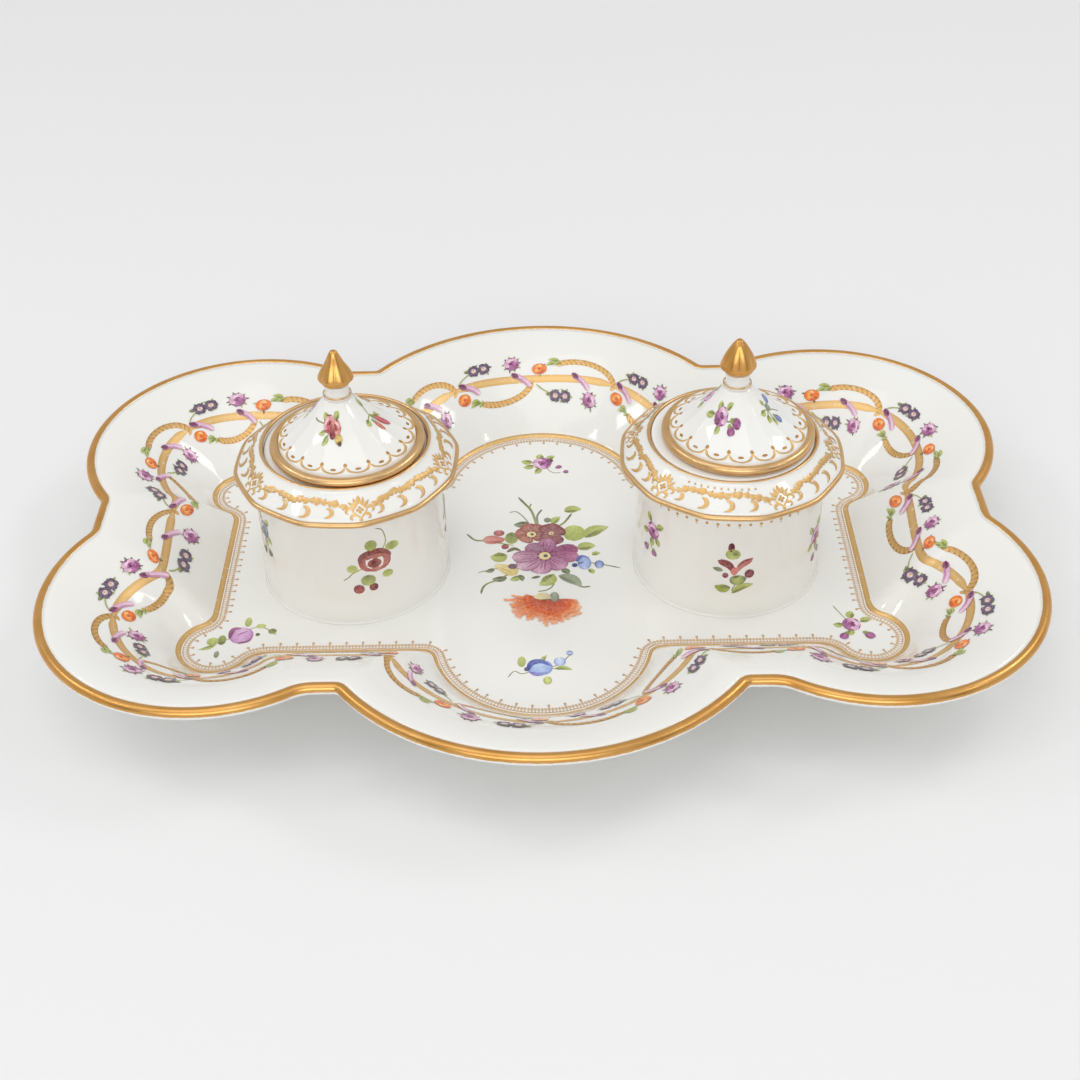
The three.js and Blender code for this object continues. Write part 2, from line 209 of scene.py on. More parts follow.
world = bpy.data.worlds.new("studio_walls")
world.use_nodes = True
bpy.context.scene.world = world
walls = world.node_tree
walls.nodes.clear()
seen = add_node(walls, "ShaderNodeLightPath", gives="Is Camera Ray")
wall_light = add_node(walls, "ShaderNodeBackground", {"Color": solid("#FFFFFF"), "Strength": 0.64})
wall_look = add_node(walls, "ShaderNodeBackground", {"Color": solid("#ECEDEE"), "Strength": 1.0})
walls_mixed = add_node(walls, "ShaderNodeMixShader", {
    "Fac": seen, "Shader": wall_light, "Shader_001": wall_look,
})
add_node(walls, "ShaderNodeOutputWorld", {"Surface": walls_mixed})

# The tray's dish is pressed from hard-paste porcelain: a flat floor and a wall that flares to
# the lip, both in six lobes joined by short straight brackets. Lengths here are in mm, and a
# point seen from above is the complex number x + yi.
lip_line = {
    "peak": 111.2, "bracket_start": 56.9, "bracket_length": 11.5, "bracket_line": 81.8,
    "end_line": 139.8, "end_half_width": 9.0, "corner_bulge": 0.85,
    "lobe_bend": 2.0, "corner_bend": 4.0, "end_bend": 2.2,
}
floor_line = {
    "peak": 72.6, "bracket_start": 33.4, "bracket_length": 56.0, "bracket_line": 42.8,
    "end_line": 102.7, "end_half_width": 28.5, "corner_bulge": 1.8,
    "lobe_bend": 4.0, "corner_bend": 5.5, "end_bend": 4.5,
}
line_steps = {"middle": 44, "bend": 7, "bracket": 8, "corner": 52, "end": 8}


def arc(centre, radius, start, end, steps):
    return centre + radius * np.exp(1j * np.linspace(start, end, steps + 1))


def bend(start, corner, end, steps):
    t = np.linspace(0, 1, steps + 1)
    return (1 - t) ** 2 * start + 2 * t * (1 - t) * corner + t ** 2 * end


def lobed_line(line):
    """The whole line, anticlockwise from its right-hand end."""
    rise = line["peak"] - line["bracket_line"]
    middle_radius = (line["bracket_start"] ** 2 + rise ** 2) / (2 * rise)
    middle_centre = 1j * (line["peak"] - middle_radius)
    lobe_corner = line["bracket_start"] + 1j * line["bracket_line"]
    lobe_end = np.angle(lobe_corner - middle_centre) + line["lobe_bend"] / middle_radius
    middle = arc(middle_centre, middle_radius, math.pi / 2, lobe_end, line_steps["middle"])

    start = lobe_corner + line["bracket_length"]
    end = line["end_line"] + 1j * line["end_half_width"]
    half = abs(end - start) / 2
    bulge = half * line["corner_bulge"]
    radius = (half ** 2 + bulge ** 2) / (2 * bulge)
    outward = 1j * (end - start) / abs(end - start)
    centre = (start + end) / 2 + outward * (bulge - radius)
    spread = math.atan2(half, radius - bulge)
    facing = np.angle(outward)
    corner = arc(
        centre, radius, facing + spread - line["corner_bend"] / radius,
        facing - spread + line["end_bend"] / radius, line_steps["corner"],
    )
    bracket_from = lobe_corner + line["lobe_bend"]
    bracket_to = start - line["corner_bend"]
    end_from = end - 1j * line["end_bend"]
    quarter = [
        middle,
        bend(middle[-1], lobe_corner, bracket_from, line_steps["bend"])[1:],
        np.linspace(bracket_from, bracket_to, line_steps["bracket"] + 1)[1:],
        bend(bracket_to, start, corner[0], line_steps["bend"])[1:],
        corner[1:],
        bend(corner[-1], end, end_from, line_steps["bend"])[1:],
        np.linspace(end_from, line["end_line"], line_steps["end"] + 1)[1:],
    ]
    quarter = np.concatenate(quarter)[::-1]
    back = np.concatenate([quarter, -np.conj(quarter[-2::-1])])
    return np.concatenate([back, np.conj(back[-2:0:-1])])


def offset(line, distance):
    """A closed line moved outward along its normals, inward if the distance is negative."""
    incoming = line - np.roll(line, 1)
    outgoing = np.roll(line, -1) - line
    incoming, outgoing = incoming / abs(incoming), outgoing / abs(outgoing)
    along = (incoming + outgoing) / abs(incoming + outgoing)
    return line - 1j * along * distance / (along * np.conj(outgoing)).real


def at_height(plan, height):
    """Points in space from points seen from above, in mm."""
    return np.column_stack([plan.real, plan.imag, np.broadcast_to(height, plan.shape)])


def piece(name, points, faces, body, finish, stands_for=(), values=None):
    """Makes a smooth-shaded mesh that rides on a body. A finish is a slot of the record, which is
    not used here, with the material that stands for it. Values are named numbers for each point."""
    slot, material = finish
    mesh = bpy.data.meshes.new(name)
    mesh.from_pydata((np.asarray(points) * mm).tolist(), [], faces)
    mesh.polygons.foreach_set("use_smooth", [True] * len(mesh.polygons))
    for label, numbers in (values or {}).items():
        layer = mesh.attributes.new(label, "FLOAT", "POINT")
        layer.data.foreach_set("value", np.asarray(numbers, float).ravel())
    mesh.materials.append(material)
    made = add_object(name, mesh)
    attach(made, body)
    if stands_for:
        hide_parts(*stands_for)
    return made


def ring_faces(count, rings, capped):
    """Faces through rings of points listed up the outside; the last joins the first, or both
    ends are closed."""
    low = np.arange(rings - capped)[:, None] * count
    high = (low + count) % (rings * count)
    here = np.arange(count)
    there = (here + 1) % count
    corners = np.broadcast_arrays(low + here, low + there, high + there, high + here)
    return np.stack(corners, -1).reshape(-1, 4).tolist()


def cap_faces(ring, first, upward):
    """Triangles across a flat ring of which the points are numbered on from first."""
    plan = [Vector((x, y)) for x, y, _ in ring]
    found = delaunay_2d_cdt(plan, [], [list(range(len(ring)))], 1, 1e-5)[2]
    turn = 1 if upward else -1
    return [[corner + first for corner in face[::turn]] for face in found]


def loft(name, rings, body, finish, stands_for=(), capped=False, bare=None):
    """A solid through rings of points. Bare says where gold leaves the porcelain uncovered."""
    faces = ring_faces(len(rings[0]), len(rings), capped)
    if capped:
        faces += cap_faces(rings[0], 0, upward=False)
        faces += cap_faces(rings[-1], len(rings[0]) * (len(rings) - 1), upward=True)
    values = None
    if bare is not None:
        values = {"bare": np.repeat(bare, len(rings[0]))}
    return piece(name, np.concatenate(rings), faces, body, finish, stands_for, values)


foot_height = 2.5
floor_top = 6.5
lip_height = 21.0
lip_radius = 1.8
lip_seat = 1.2
wall_thickness = 3.4
wall_flare = 1.65
floor_fillet = 1.5
seat_half_height = math.sqrt(lip_radius ** 2 - lip_seat ** 2)
seat_top = lip_height + seat_half_height
lip_middle = floor_top + lip_height
wall_reach = lip_line["bracket_line"] - floor_line["bracket_line"] - lip_seat
floor_edge = lobed_line(floor_line)
lip_middle_line = lobed_line(lip_line)
wall_top_line = offset(lip_middle_line, -lip_seat)


def wall_climb(share):
    """Height of the wall's curve above the floor at a share of the way out to the lip. Below 0
    it runs on straight, under the floor."""
    curved = seat_top * (1 - (1 - np.clip(share, 0, 1)) ** wall_flare)
    return np.where(share < 0, seat_top * wall_flare * share, curved)


def filleted(climb):
    """The same height with the corner at the floor filled to a soft curve."""
    blend = (climb + floor_fillet) ** 2 / (4 * floor_fillet)
    return np.where(climb < -floor_fillet, 0, np.where(climb > floor_fillet, climb, blend))


def wall_ring(share):
    plan = floor_edge * (1 - share) + wall_top_line * share
    return at_height(plan, floor_top + filleted(wall_climb(share)))


def under_ring(share):
    slope = seat_top * wall_flare * (1 - share) ** (wall_flare - 1) / wall_reach
    tilt = math.atan(slope)
    out = share + wall_thickness * math.sin(tilt) / wall_reach
    plan = floor_edge * (1 - out) + wall_top_line * out
    return at_height(plan, floor_top + wall_climb(share) - wall_thickness * math.cos(tilt))


# Glazed hard-paste porcelain: a cool white body under a clear fired glaze, so the gloss is
# sharp and slightly rippled. The tone drifts a little, and a few iron specks show in it.
porcelain_pale = "#F2F2EF"
porcelain_warm = "#EEEDE7"
speck_brown = "#A79A8C"
glaze_roughness = 0.07


def remap(tree, value, low, high, to_low=0.0, to_high=1.0):
    """Turns the range from low to high into another one."""
    return add_node(tree, "ShaderNodeMapRange", {
        "Value": value, "From Min": low, "From Max": high, "To Min": to_low, "To Max": to_high,
    })


def relief(tree, height, strength, depth):
    """The normal of a surface with a fine relief, this deep in mm."""
    return add_node(tree, "ShaderNodeBump", {
        "Height": height, "Strength": strength, "Distance": depth * mm,
    })


def add_glaze(tree, place):
    """The nodes that all glazed surfaces share: the porcelain's colour and the glaze's ripple."""
    body = blend(tree, noise(tree, place, 45.0), porcelain_pale, porcelain_warm)
    cells = add_node(tree, "ShaderNodeTexVoronoi", {"Vector": place, "Scale": waves(14.0)})
    specks = remap(tree, cells, 0.016, 0.008, 0.0, 0.7)
    ripple = noise(tree, place, 9.0, 1.0)
    return blend(tree, specks, body, speck_brown), relief(tree, ripple, 0.35, 0.06)


def glazed_porcelain():
    material, tree, place = new_tree("glazed_hard_paste_porcelain")
    colour, normal = add_glaze(tree, place)
    add_surface(tree, Base_Color=colour, Normal=normal, Roughness=glaze_roughness, IOR=1.5)
    return material


porcelain = ("porcelain", glazed_porcelain())
wall_shares = [*np.linspace(1, 0.06, 28), *np.linspace(0.05, -0.045, 11)]
under_shares = np.linspace(0.05, 0.9, 14)
dish_rings = [at_height(floor_edge, foot_height)]
dish_rings += [under_ring(share) for share in under_shares]
dish_rings += [
    at_height(wall_top_line, lip_middle - seat_half_height),
    *[wall_ring(share) for share in wall_shares],
]
loft("dish", dish_rings, "tray", porcelain, ["tray_dish"], capped=True)

# The lip is a roll in the clay along the dish's edge. Its top and outer side carry burnished
# gold, brushed on by hand, and a thin line of bare glaze shows below the gold.
def burnished_gold(name, deep, bright):
    """Gold fired over the glaze and rubbed with agate: a mirror with soft rub marks. Where the
    value bare passes a half the porcelain shows, along a brushed, uneven edge."""
    material, tree, place = new_tree(name)
    under_gold, glaze_normal = add_glaze(tree, place)
    bare = add_node(tree, "ShaderNodeAttribute", gives="Fac", attribute_name="bare")
    shifted = add_node(tree, "ShaderNodeMath", {
        "Value": bare, "Value_001": noise(tree, place, 1.6, 3.0),
    }, operation="ADD")
    cover = remap(tree, shifted, 1.04, 0.96)
    colour = blend(tree, cover, under_gold, blend(tree, noise(tree, place, 9.0), deep, bright))
    rubbed = remap(tree, noise(tree, place, 2.2, 1.0), 0.0, 1.0, 0.24, 0.36)
    gloss = add_node(tree, "ShaderNodeMix", {
        "Factor_Float": cover, "A_Float": glaze_roughness, "B_Float": rubbed,
    })
    add_surface(tree, Base_Color=colour, Metallic=cover, Roughness=gloss, Normal=glaze_normal)
    return material


def rolled_edge(middle_line, middle_height, radius, seat, steps, gold_from, gold_to):
    """Rings and bareness of a roll along a line: a circle cut flat where it meets the piece.
    Angles are in degrees above straight outward."""
    seat_angle = math.degrees(math.acos(-seat / radius))
    angles = np.linspace(-seat_angle, seat_angle, steps + 1)
    rings = []
    for angle in np.radians(angles):
        plan = offset(middle_line, radius * math.cos(angle))
        rings.append(at_height(plan, middle_height + radius * math.sin(angle)))
    softness = 180.0 / steps
    inside = np.minimum(angles - gold_from, gold_to - angles)
    return rings, np.clip(0.5 - inside / (2 * softness), 0, 1)


gold = ("gilding", burnished_gold("burnished_gold_on_porcelain", "#CC9145", "#E6B46F"))
lip_rings, lip_bare = rolled_edge(
    lip_middle_line, lip_middle, lip_radius, lip_seat, 28, gold_from=1.0, gold_to=126.0,
)
loft("lip_roll", lip_rings, "tray", gold, ["tray_gilt_lip"], bare=lip_bare)

# The foot ring is a low rib of the same clay under the floor. Its bottom is ground flat after
# the firing and stays unglazed, so that the tray stands firm and sticks to nothing in the kiln.
foot_inset = 2.4
foot_width = 4.0
foot_rounding = 0.4


def ground_biscuit():
    """Bare porcelain biscuit: matt, slightly yellow, with the fine grain of the grinding."""
    material, tree, place = new_tree("ground_porcelain_biscuit")
    grain = noise(tree, place, 0.6, 4.0)
    colour = blend(tree, grain, "#DDDACF", "#E9E6DC")
    normal = relief(tree, grain, 0.4, 0.05)
    add_surface(tree, Base_Color=colour, Normal=normal, Roughness=0.65)
    return material


biscuit = ("unglazed_porcelain", ground_biscuit())
foot_outer, foot_inner = -foot_inset, -foot_inset - foot_width
foot_section = [
    (foot_inner, foot_rounding), (foot_inner + foot_rounding, 0.0),
    (foot_outer - foot_rounding, 0.0), (foot_outer, foot_rounding),
    (foot_outer, foot_height), (foot_inner, foot_height),
]
loft(
    "foot_ring", [at_height(offset(floor_edge, out), height) for out, height in foot_section],
    "tray", biscuit, ["tray_foot_ring"],
)

# Along the edge of the floor runs a burnished gold line, on a ridge so low that it is easier
# felt than seen. All the painting lies on the glaze: each touch of the brush is a thin film of
# gold or enamel that follows the surface under it.
slope_of_wall = 45.5
ribbon_share = 0.46


def lengths_along(line):
    return np.concatenate([[0], np.cumsum(abs(np.diff(line)))])


front_middle = 3 * (len(floor_edge) // 4)
from_front = (np.arange(len(floor_edge) + 1) + front_middle) % len(floor_edge)
wall_foot, wall_top = floor_edge[from_front], wall_top_line[from_front]
wall_lengths = lengths_along((wall_foot + wall_top) / 2)
wall_length = wall_lengths[-1]


def on_wall(flat):
    """The place on the tray's wall of points given as a length along it from the front middle,
    anticlockwise, plus i times their height up the slope, measured from the middle of the
    painted ribbon."""
    along = flat.real % wall_length
    share = ribbon_share + flat.imag / slope_of_wall
    inner = np.interp(along, wall_lengths, wall_foot)
    outer = np.interp(along, wall_lengths, wall_top)
    return at_height(inner * (1 - share) + outer * share, floor_top + filleted(wall_climb(share)))


def on_floor(flat):
    return at_height(flat, floor_top)


def curve_through(points, steps):
    """A soft curve through points, with this many steps from each to the next."""
    points = np.array(points, complex)
    if len(points) == 2:
        points = np.array([points[0], points.mean(), points[1]])
    padded = np.concatenate([[2 * points[0] - points[1]], points, [2 * points[-1] - points[-2]]])
    before, start, end, after = (padded[i:len(padded) - 3 + i, None] for i in range(4))
    t = np.linspace(0, 1, steps, endpoint=False)
    curve = 2 * start + (end - before) * t
    curve = curve + (2 * before - 5 * start + 4 * end - after) * t ** 2
    curve = curve + (3 * start - before - 3 * end + after) * t ** 3
    return np.append(curve.ravel() / 2, points[-1])


def brush_width(shape, t):
    """How wide the brush is pressed along a touch, as a share of its full width."""
    if shape == "round":
        return np.sqrt(1 - (2 * t - 1) ** 2)
    if shape == "leaf":
        return np.sin(np.pi * t ** 0.85) ** 0.8
    if shape == "petal":
        return np.sqrt(np.sin(np.pi * (0.08 + 0.92 * t) ** 1.7))
    if shape == "comma":
        return np.sin(np.pi * (0.06 + 0.94 * t) ** 0.45) ** 0.8
    return np.minimum(1, 0.35 + 8 * np.minimum(t, 1 - t))


def touch(points, width, ink, tip=None, rim=None, shape="leaf", steps=5):
    """One touch of the brush: its path, its widths and its colours from start to tip and at
    the rim."""
    path = curve_through(points, steps)
    t = np.linspace(0, 1, len(path))
    first, last = linear(ink), linear(tip or ink)
    inks = first + (last - first) * t[:, None]
    edge = inks * 0.9 if rim is None else inks * 0 + linear(rim)
    return path, np.maximum(width * brush_width(shape, t), 0.02), inks, edge


def dot(centre, size, ink, tip=None, rim=None):
    return touch([centre - size / 2, centre + size / 2], size, ink, tip, rim, "round", 4)


across_touch = np.array([-1.0, -0.7, 0.0, 0.7, 1.0])
lift_across = np.array([-0.5, 0.6, 1.0, 0.6, -0.5])
rim_across = np.array([1.0, 0.45, 0.0, 0.45, 1.0])[:, None]
touch_step = 0.004
deepest_motif = 0.4
small_way = 0.05


def paint(name, motifs, surface, body, finish, base=0.02, dome=0.03, facing=1):
    """Lays touches of the brush on a surface as one thin piece. Each motif is a list of touches,
    of which each lies a little above the one before."""
    flat, lift, inks, faces = [], [], [], []
    first = 0
    for motif in motifs:
        step = min(touch_step, deepest_motif / len(motif))
        for order, (path, widths, colours, rim) in enumerate(motif):
            along = np.gradient(path)
            side = 1j * along / np.maximum(abs(along), 1e-9)
            spread = side[:, None] * across_touch * widths[:, None] / 2
            flat.append((path[:, None] + spread).ravel())
            lift.append(np.tile(base + dome / 2 + step * order + lift_across * dome, len(path)))
            mixed = colours[:, None] * (1 - rim_across) + rim[:, None] * rim_across
            inks.append(mixed.reshape(-1, 3))
            corner = first + 5 * np.arange(len(path) - 1)[:, None] + np.arange(4)
            quads = np.stack([corner, corner + 5, corner + 6, corner + 1], -1)
            faces.append(quads[..., ::-facing].reshape(-1, 4))
            first += 5 * len(path)
    flat, lift, inks = np.concatenate(flat), np.concatenate(lift), np.concatenate(inks)
    points = surface(flat)
    right = surface(flat + small_way) - points
    up = surface(flat + 1j * small_way) - points
    normal = np.cross(right, up) * facing
    normal /= np.linalg.norm(normal, axis=1)[:, None]
    points = points + normal * lift[:, None]
    made = piece(name, points, np.concatenate(faces).tolist(), body, finish)
    layer = made.data.color_attributes.new("ink", "FLOAT_COLOR", "POINT")
    layer.data.foreach_set("color", np.column_stack([inks, np.ones(len(inks))]).ravel())


def brushed_gold():
    """Gold powder brushed on in oil and fired: less bright than the burnished lines, a little
    streaky and thin in places, where the glaze shows through."""
    material, tree, place = new_tree("brushed_gold_on_porcelain")
    ink = add_node(tree, "ShaderNodeAttribute", gives="Color", attribute_name="ink")
    thin = remap(tree, noise(tree, place, 1.3, 3.0), 0.6, 0.76, 0.0, 0.6)
    metal = remap(tree, thin, 0.0, 0.6, 0.85, 0.2)
    streaks = noise(tree, place, 0.3)
    add_surface(
        tree, Base_Color=blend(tree, thin, ink, porcelain_warm), Metallic=metal,
        Roughness=remap(tree, streaks, 0.0, 1.0, 0.3, 0.5),
        Normal=relief(tree, streaks, 0.3, 0.01),
    )
    return material


def fired_enamel():
    """Coloured glass ground to powder, painted on and fired: glossy, and washed out unevenly."""
    material, tree, place = new_tree("fired_overglaze_enamel")
    ink = add_node(tree, "ShaderNodeAttribute", gives="Color", attribute_name="ink")
    wash = noise(tree, place, 0.9, 3.0)
    pooled = add_node(tree, "ShaderNodeHueSaturation", {
        "Color": ink, "Saturation": 1.05,
        "Value": remap(tree, noise(tree, place, 0.7), 0.3, 0.7, 0.86, 1.1),
    })
    colour = blend(tree, remap(tree, wash, 0.35, 0.75, 0.0, 0.15), pooled, porcelain_pale)
    normal = relief(tree, wash, 0.3, 0.01)
    add_surface(tree, Base_Color=colour, Roughness=0.18, IOR=1.5, Normal=normal)
    return material


painted_gold = ("gilding", brushed_gold())
enamel = ("porcelain", fired_enamel())
enamel_dome = 0.002
gilt, gilt_deep, gilt_brown = "#EAC486", "#D6A968", "#BF8E52"
lace_red, lace_dark = "#E4C7A6", "#D9B48A"

along_floor_edge = np.linspace(0, wall_length, 361) - 1j * slope_of_wall * ribbon_share
ridge = touch(along_floor_edge, 2.0, "#E9C282", rim=gilt_deep, shape="line", steps=2)
thin_line = touch(along_floor_edge - 1.7j, 0.4, lace_red, shape="line", steps=2)
paint(
    "floor_gold_line", [[ridge], [thin_line]], on_wall, "tray", painted_gold,
    dome=0.16, facing=-1,
)

# Inside the gold line a fine lace border is drawn in red-gold: a line with small beads on it
# and a row of spikes that point inward, each with a dot at its tip.
lace_inset = 2.7
bead_pitch = 1.02
longest_spike_pitch = 5.1
shortest_spike_pitch = 3.4
spike_length = 1.5
lace_line = offset(floor_edge, -lace_inset)
lace_line = np.append(lace_line, lace_line[0])
lace_lengths = lengths_along(lace_line)
lace_length = lace_lengths[-1]


def on_lace(distance):
    return np.interp(distance % lace_length, lace_lengths, lace_line)


all_round = on_lace(np.linspace(0, lace_length, 401))
lace = [[touch(all_round, 0.5, lace_red, shape="line", steps=2)]]
next_spike = 0.0
for place in np.arange(0, lace_length, bead_pitch):
    root = on_lace(place)
    ahead = on_lace(place + 0.4) - on_lace(place - 0.4)
    ahead /= abs(ahead)
    inward = 1j * ahead
    stem = touch([root - inward * 1.6, root], 0.4, lace_red, shape="line", steps=2)
    lace += [[dot(root + inward * 0.3, 0.75, lace_red)], [stem]]
    if place >= next_spike:
        longer = (longest_spike_pitch - shortest_spike_pitch) * abs(ahead.real)
        next_spike += shortest_spike_pitch + longer
        tip = root + inward * spike_length
        spike = touch([root - inward * 0.5, tip], 0.6, lace_red, shape="line", steps=3)
        lace[-1] += [spike, dot(tip + inward * 0.2, 0.9, lace_dark)]
paint("floor_lace", lace, on_floor, "tray", painted_gold)

# Round the wall goes a garland in fifteen repeats: a gold ribbon, gold ropes that swing over
# and under it in turn, pink silk ties, and small flowers between them. The painter spaced the
# repeats by eye, so that they differ a little.
garland_starts = [2, 62, 114, 165, 218, 273, 326, 379, 440, 494, 547, 600, 655, 701, 758]
garland_starts.append(garland_starts[0] + wall_length)
hand = np.random.default_rng(11)
green, green_pale, green_dark, green_grey = "#A3AC54", "#C9CF80", "#646C3E", "#939E84"
mauve, mauve_pale, mauve_dark = "#BC70A8", "#F2CBE2", "#74265C"
violet_dark, violet_edge, violet_heart = "#4A3350", "#7A6480", "#F0D5C8"
orange, orange_pale, orange_dark = "#F58020", "#FFBE6E", "#C65216"
orange_deep, orange_rim = "#E8701C", "#E06A1C"
silk, silk_pale, silk_fold, maroon = "#DDABC8", "#F6DDE9", "#AE6494", "#6A2048"


def way_at(degrees):
    """The direction at this angle, anticlockwise from the right."""
    return np.exp(1j * np.radians(degrees))


def ticks(centre, inner, outer, count, width, start=0.0):
    """Small dark leaf tips that stand out round a flower."""
    found = []
    for turn in start + np.arange(count) * 360 / count + hand.normal(0, 5, count):
        ink = green_dark if hand.random() < 0.6 else green
        reach = outer * (1 + hand.normal(0, 0.1))
        path = [centre + inner * way_at(turn), centre + reach * way_at(turn)]
        found.append(touch(path, width, ink, steps=3))
    return found


def leaf(base, tip, width, pale=green_pale, dark=green):
    """A leaf, darker at its root and along one edge."""
    bent = (base + tip) / 2 + 0.12j * (tip - base)
    side = 1j * (tip - base) / abs(tip - base) * width * 0.24
    shaded = [base, bent - side, base * 0.2 + tip * 0.8]
    return [
        touch([base, bent, tip], width, dark, pale, rim=dark),
        touch(shaded, width * 0.4, green_dark, dark),
    ]


def leaves(*rows):
    """Leaves, each given as base, tip and width and, where they aren't the usual ones, colours."""
    return sum((leaf(*row) for row in rows), [])


def petal_of(centre, size):
    """Lays petals of a flower along curves round its heart. Lengths are shares of its size."""
    def petal(reach, turns, width, ink, tip=None, rim=None):
        return touch(centre + size * reach * way_at(turns), size * width, ink, tip, rim)
    return petal


def rose(centre, size, pale, middle, dark, turn=0.0):
    """A round rose: petals curled about a dark heart, paler on one side."""
    petal = petal_of(centre, size)
    found = [dot(centre, size, middle, rim=dark)]
    for k, ink in enumerate([pale, pale, middle, middle, pale]):
        turns = turn + 72 * k + np.array([-46, 0, 46]) + hand.normal(0, 6)
        found.append(petal(0.33, turns, 0.32, ink, middle, ink))
    found.append(petal(0.36, turn + np.array([110, 160, 210, 250]), 0.2, dark, middle))
    for k in range(3):
        turns = turn + 70 + 120 * k + np.array([-50, 0, 50])
        found.append(petal(0.17, turns, 0.14, dark, middle))
    found.append(dot(centre + size * 0.03, size * 0.2, dark))
    return [*found, petal(0.28, turn + np.array([-40, 5, 50]), 0.16, pale, "#FBE9F4")]


def pansy(centre, size, turn=0.0):
    """A small dark flower of five round petals with a pale heart."""
    found = [dot(centre, size * 0.86, violet_dark)]
    for k in range(5):
        middle = centre + size * 0.25 * way_at(turn + 72 * k)
        found.append(dot(middle, size * 0.5, violet_dark, violet_edge, rim=violet_dark))
    found.append(dot(centre, size * 0.42, violet_heart, rim="#A8889A"))
    return [*found, dot(centre + size * 0.04j, size * 0.12, "#C99650")]


def ranunculus(centre, size, turn):
    """An orange flower, a little wider than high, light on top and darker below."""
    petal = petal_of(centre, size)
    half = size / 2 * way_at(turn)
    path = [centre - half, centre + half]
    found = [touch(path, size * 0.8, orange, rim=orange_rim, shape="round")]
    for k, (ink, tip) in enumerate([
        (orange_pale, orange), (orange, orange_deep), (orange, orange_pale),
    ]):
        found.append(petal(0.22, turn + 120 * k + np.array([20, 80, 140]), 0.26, ink, tip, tip))
    return [
        *found, petal(0.3, turn + np.array([-150, -95, -40]), 0.2, orange_dark, orange_rim),
        petal(0.24, turn + np.array([70, 110, 150]), 0.2, orange_pale, "#FFD79A"),
        dot(centre, size * 0.16, orange_dark, rim="#D9641C"),
    ]


def rope(points, width):
    """A twisted cord of two gold strands."""
    path = curve_through(points, 12)
    lengths = lengths_along(path)
    found = [touch(path[::3], width * 0.8, gilt_brown, shape="line", steps=3)]
    for distance in np.arange(0.4, lengths[-1] - 0.3, width * 0.62):
        here = np.interp(distance, lengths, path)
        ahead = np.interp(distance + 0.1, lengths, path) - here
        twist = ahead / abs(ahead) * way_at(52) * width * 0.55
        strand = [here - twist, here + twist]
        found.append(touch(strand, width * 0.5, gilt, gilt_deep, gilt_deep, "round", steps=3))
    return found


def silk_tie(foot, head):
    """A silk ribbon laid over the gold one, with a dark fold at its upper end."""
    lean = 1j * (head - foot) / abs(head - foot)
    body = np.array([foot, foot * 0.55 + head * 0.45 + lean * 0.5, head])
    fold = [head - (head - foot) * 0.36 - lean * 0.1, head + lean * 0.3]
    return [
        touch(body, 2.1, silk_pale, silk, rim="#CF98B8", shape="line"),
        touch(body - lean * 0.6, 0.9, silk, silk_fold), touch(fold, 2.1, silk_fold, maroon),
        touch([fold[0] + lean * 0.4, fold[1] - lean * 0.1], 1.1, maroon),
    ]


garland_gold, garland_flowers = [], []
whole, swing = np.linspace(0, 1, 13), np.radians(np.linspace(0, 130, 9))
for start, end in zip(garland_starts, garland_starts[1:]):
    def at(t, height, start=start, end=end):
        return start + (end - start) * t + 1j * height

    ribbon = at(whole, 0.1 + 0.7 * np.cos(2 * math.pi * whole))
    over = at(0.215 - 0.22 * np.cos(swing), 7.9 * np.sin(swing) - 0.6)
    under = at(0.71 - 0.2 * np.cos(swing), -7.4 * np.sin(swing) - 1.2)
    garland_gold += [
        rope(over, 2.9), rope(under, 2.8), [touch(ribbon, 3.0, gilt, rim=gilt_deep, shape="even")],
    ]
    garland_flowers += [
        leaves(
            (at(0.34, 6.6), at(0.41, 7.4), 1.7), (at(0.36, 6.0), at(0.42, 4.9), 1.6),
            (at(0.33, 6.2), at(0.38, 5.0), 1.3),
        ),
        ticks(at(0.46, 3.4), 1.8, 3.2, 3, 0.7, 20) + ranunculus(at(0.46, 3.4), 5.6, -12),
        leaves(
            (at(0.84, -6.4), at(0.92, -7.2), 1.7), (at(0.85, -6.0), at(0.91, -5.6), 1.6),
            (at(0.82, -6.8), at(0.86, -8.0), 1.3),
        ),
        ranunculus(at(0.95, -3.6), 5.6, 14),
    ]
    for heart, turn in ((at(0.14, -7.0), 150), (at(0.62, 6.2), 60)):
        thorns = ticks(heart, 2.2, 3.6, 10, 0.6)
        garland_flowers.append(thorns + rose(heart, 5.5, mauve_pale, mauve, mauve_dark, turn))
    for middle, stem in ((at(0.33, -7.0), at(0.48, -2.8)), (at(0.82, 6.2), at(0.97, 2.3))):
        left, right = middle - 1.9, middle + 1.9
        stalk = touch([right, (right + stem + 1.9) / 2, stem], 0.45, green, shape="line")
        twins = [stalk, *leaf(middle + 3.6, middle + 5.6 + 0.6j, 1.4, green, green_dark)]
        twins += ticks(left, 1.5, 2.8, 6, 0.8, 60) + ticks(right, 1.5, 2.8, 6, 0.8)
        garland_flowers.append(twins + pansy(left, 4.7) + pansy(right, 4.7, 30))
    for t, foot, head in (
        (0.21, -3.6 - 3.3j, 3.4 + 2.2j), (0.57, -3.4 - 3.4j, 3.6 + 2.0j),
        (0.9, -3.8 - 3.2j, 4.0 + 2.4j),
    ):
        garland_flowers.append(silk_tie(at(t, 0) + foot, at(t, 0) + head))
paint(
    "garland_gold", garland_gold, on_wall, "tray", painted_gold, dome=0.012, facing=-1,
)
paint(
    "garland_flowers", garland_flowers, on_wall, "tray", enamel, 0.16, enamel_dome, -1,
)

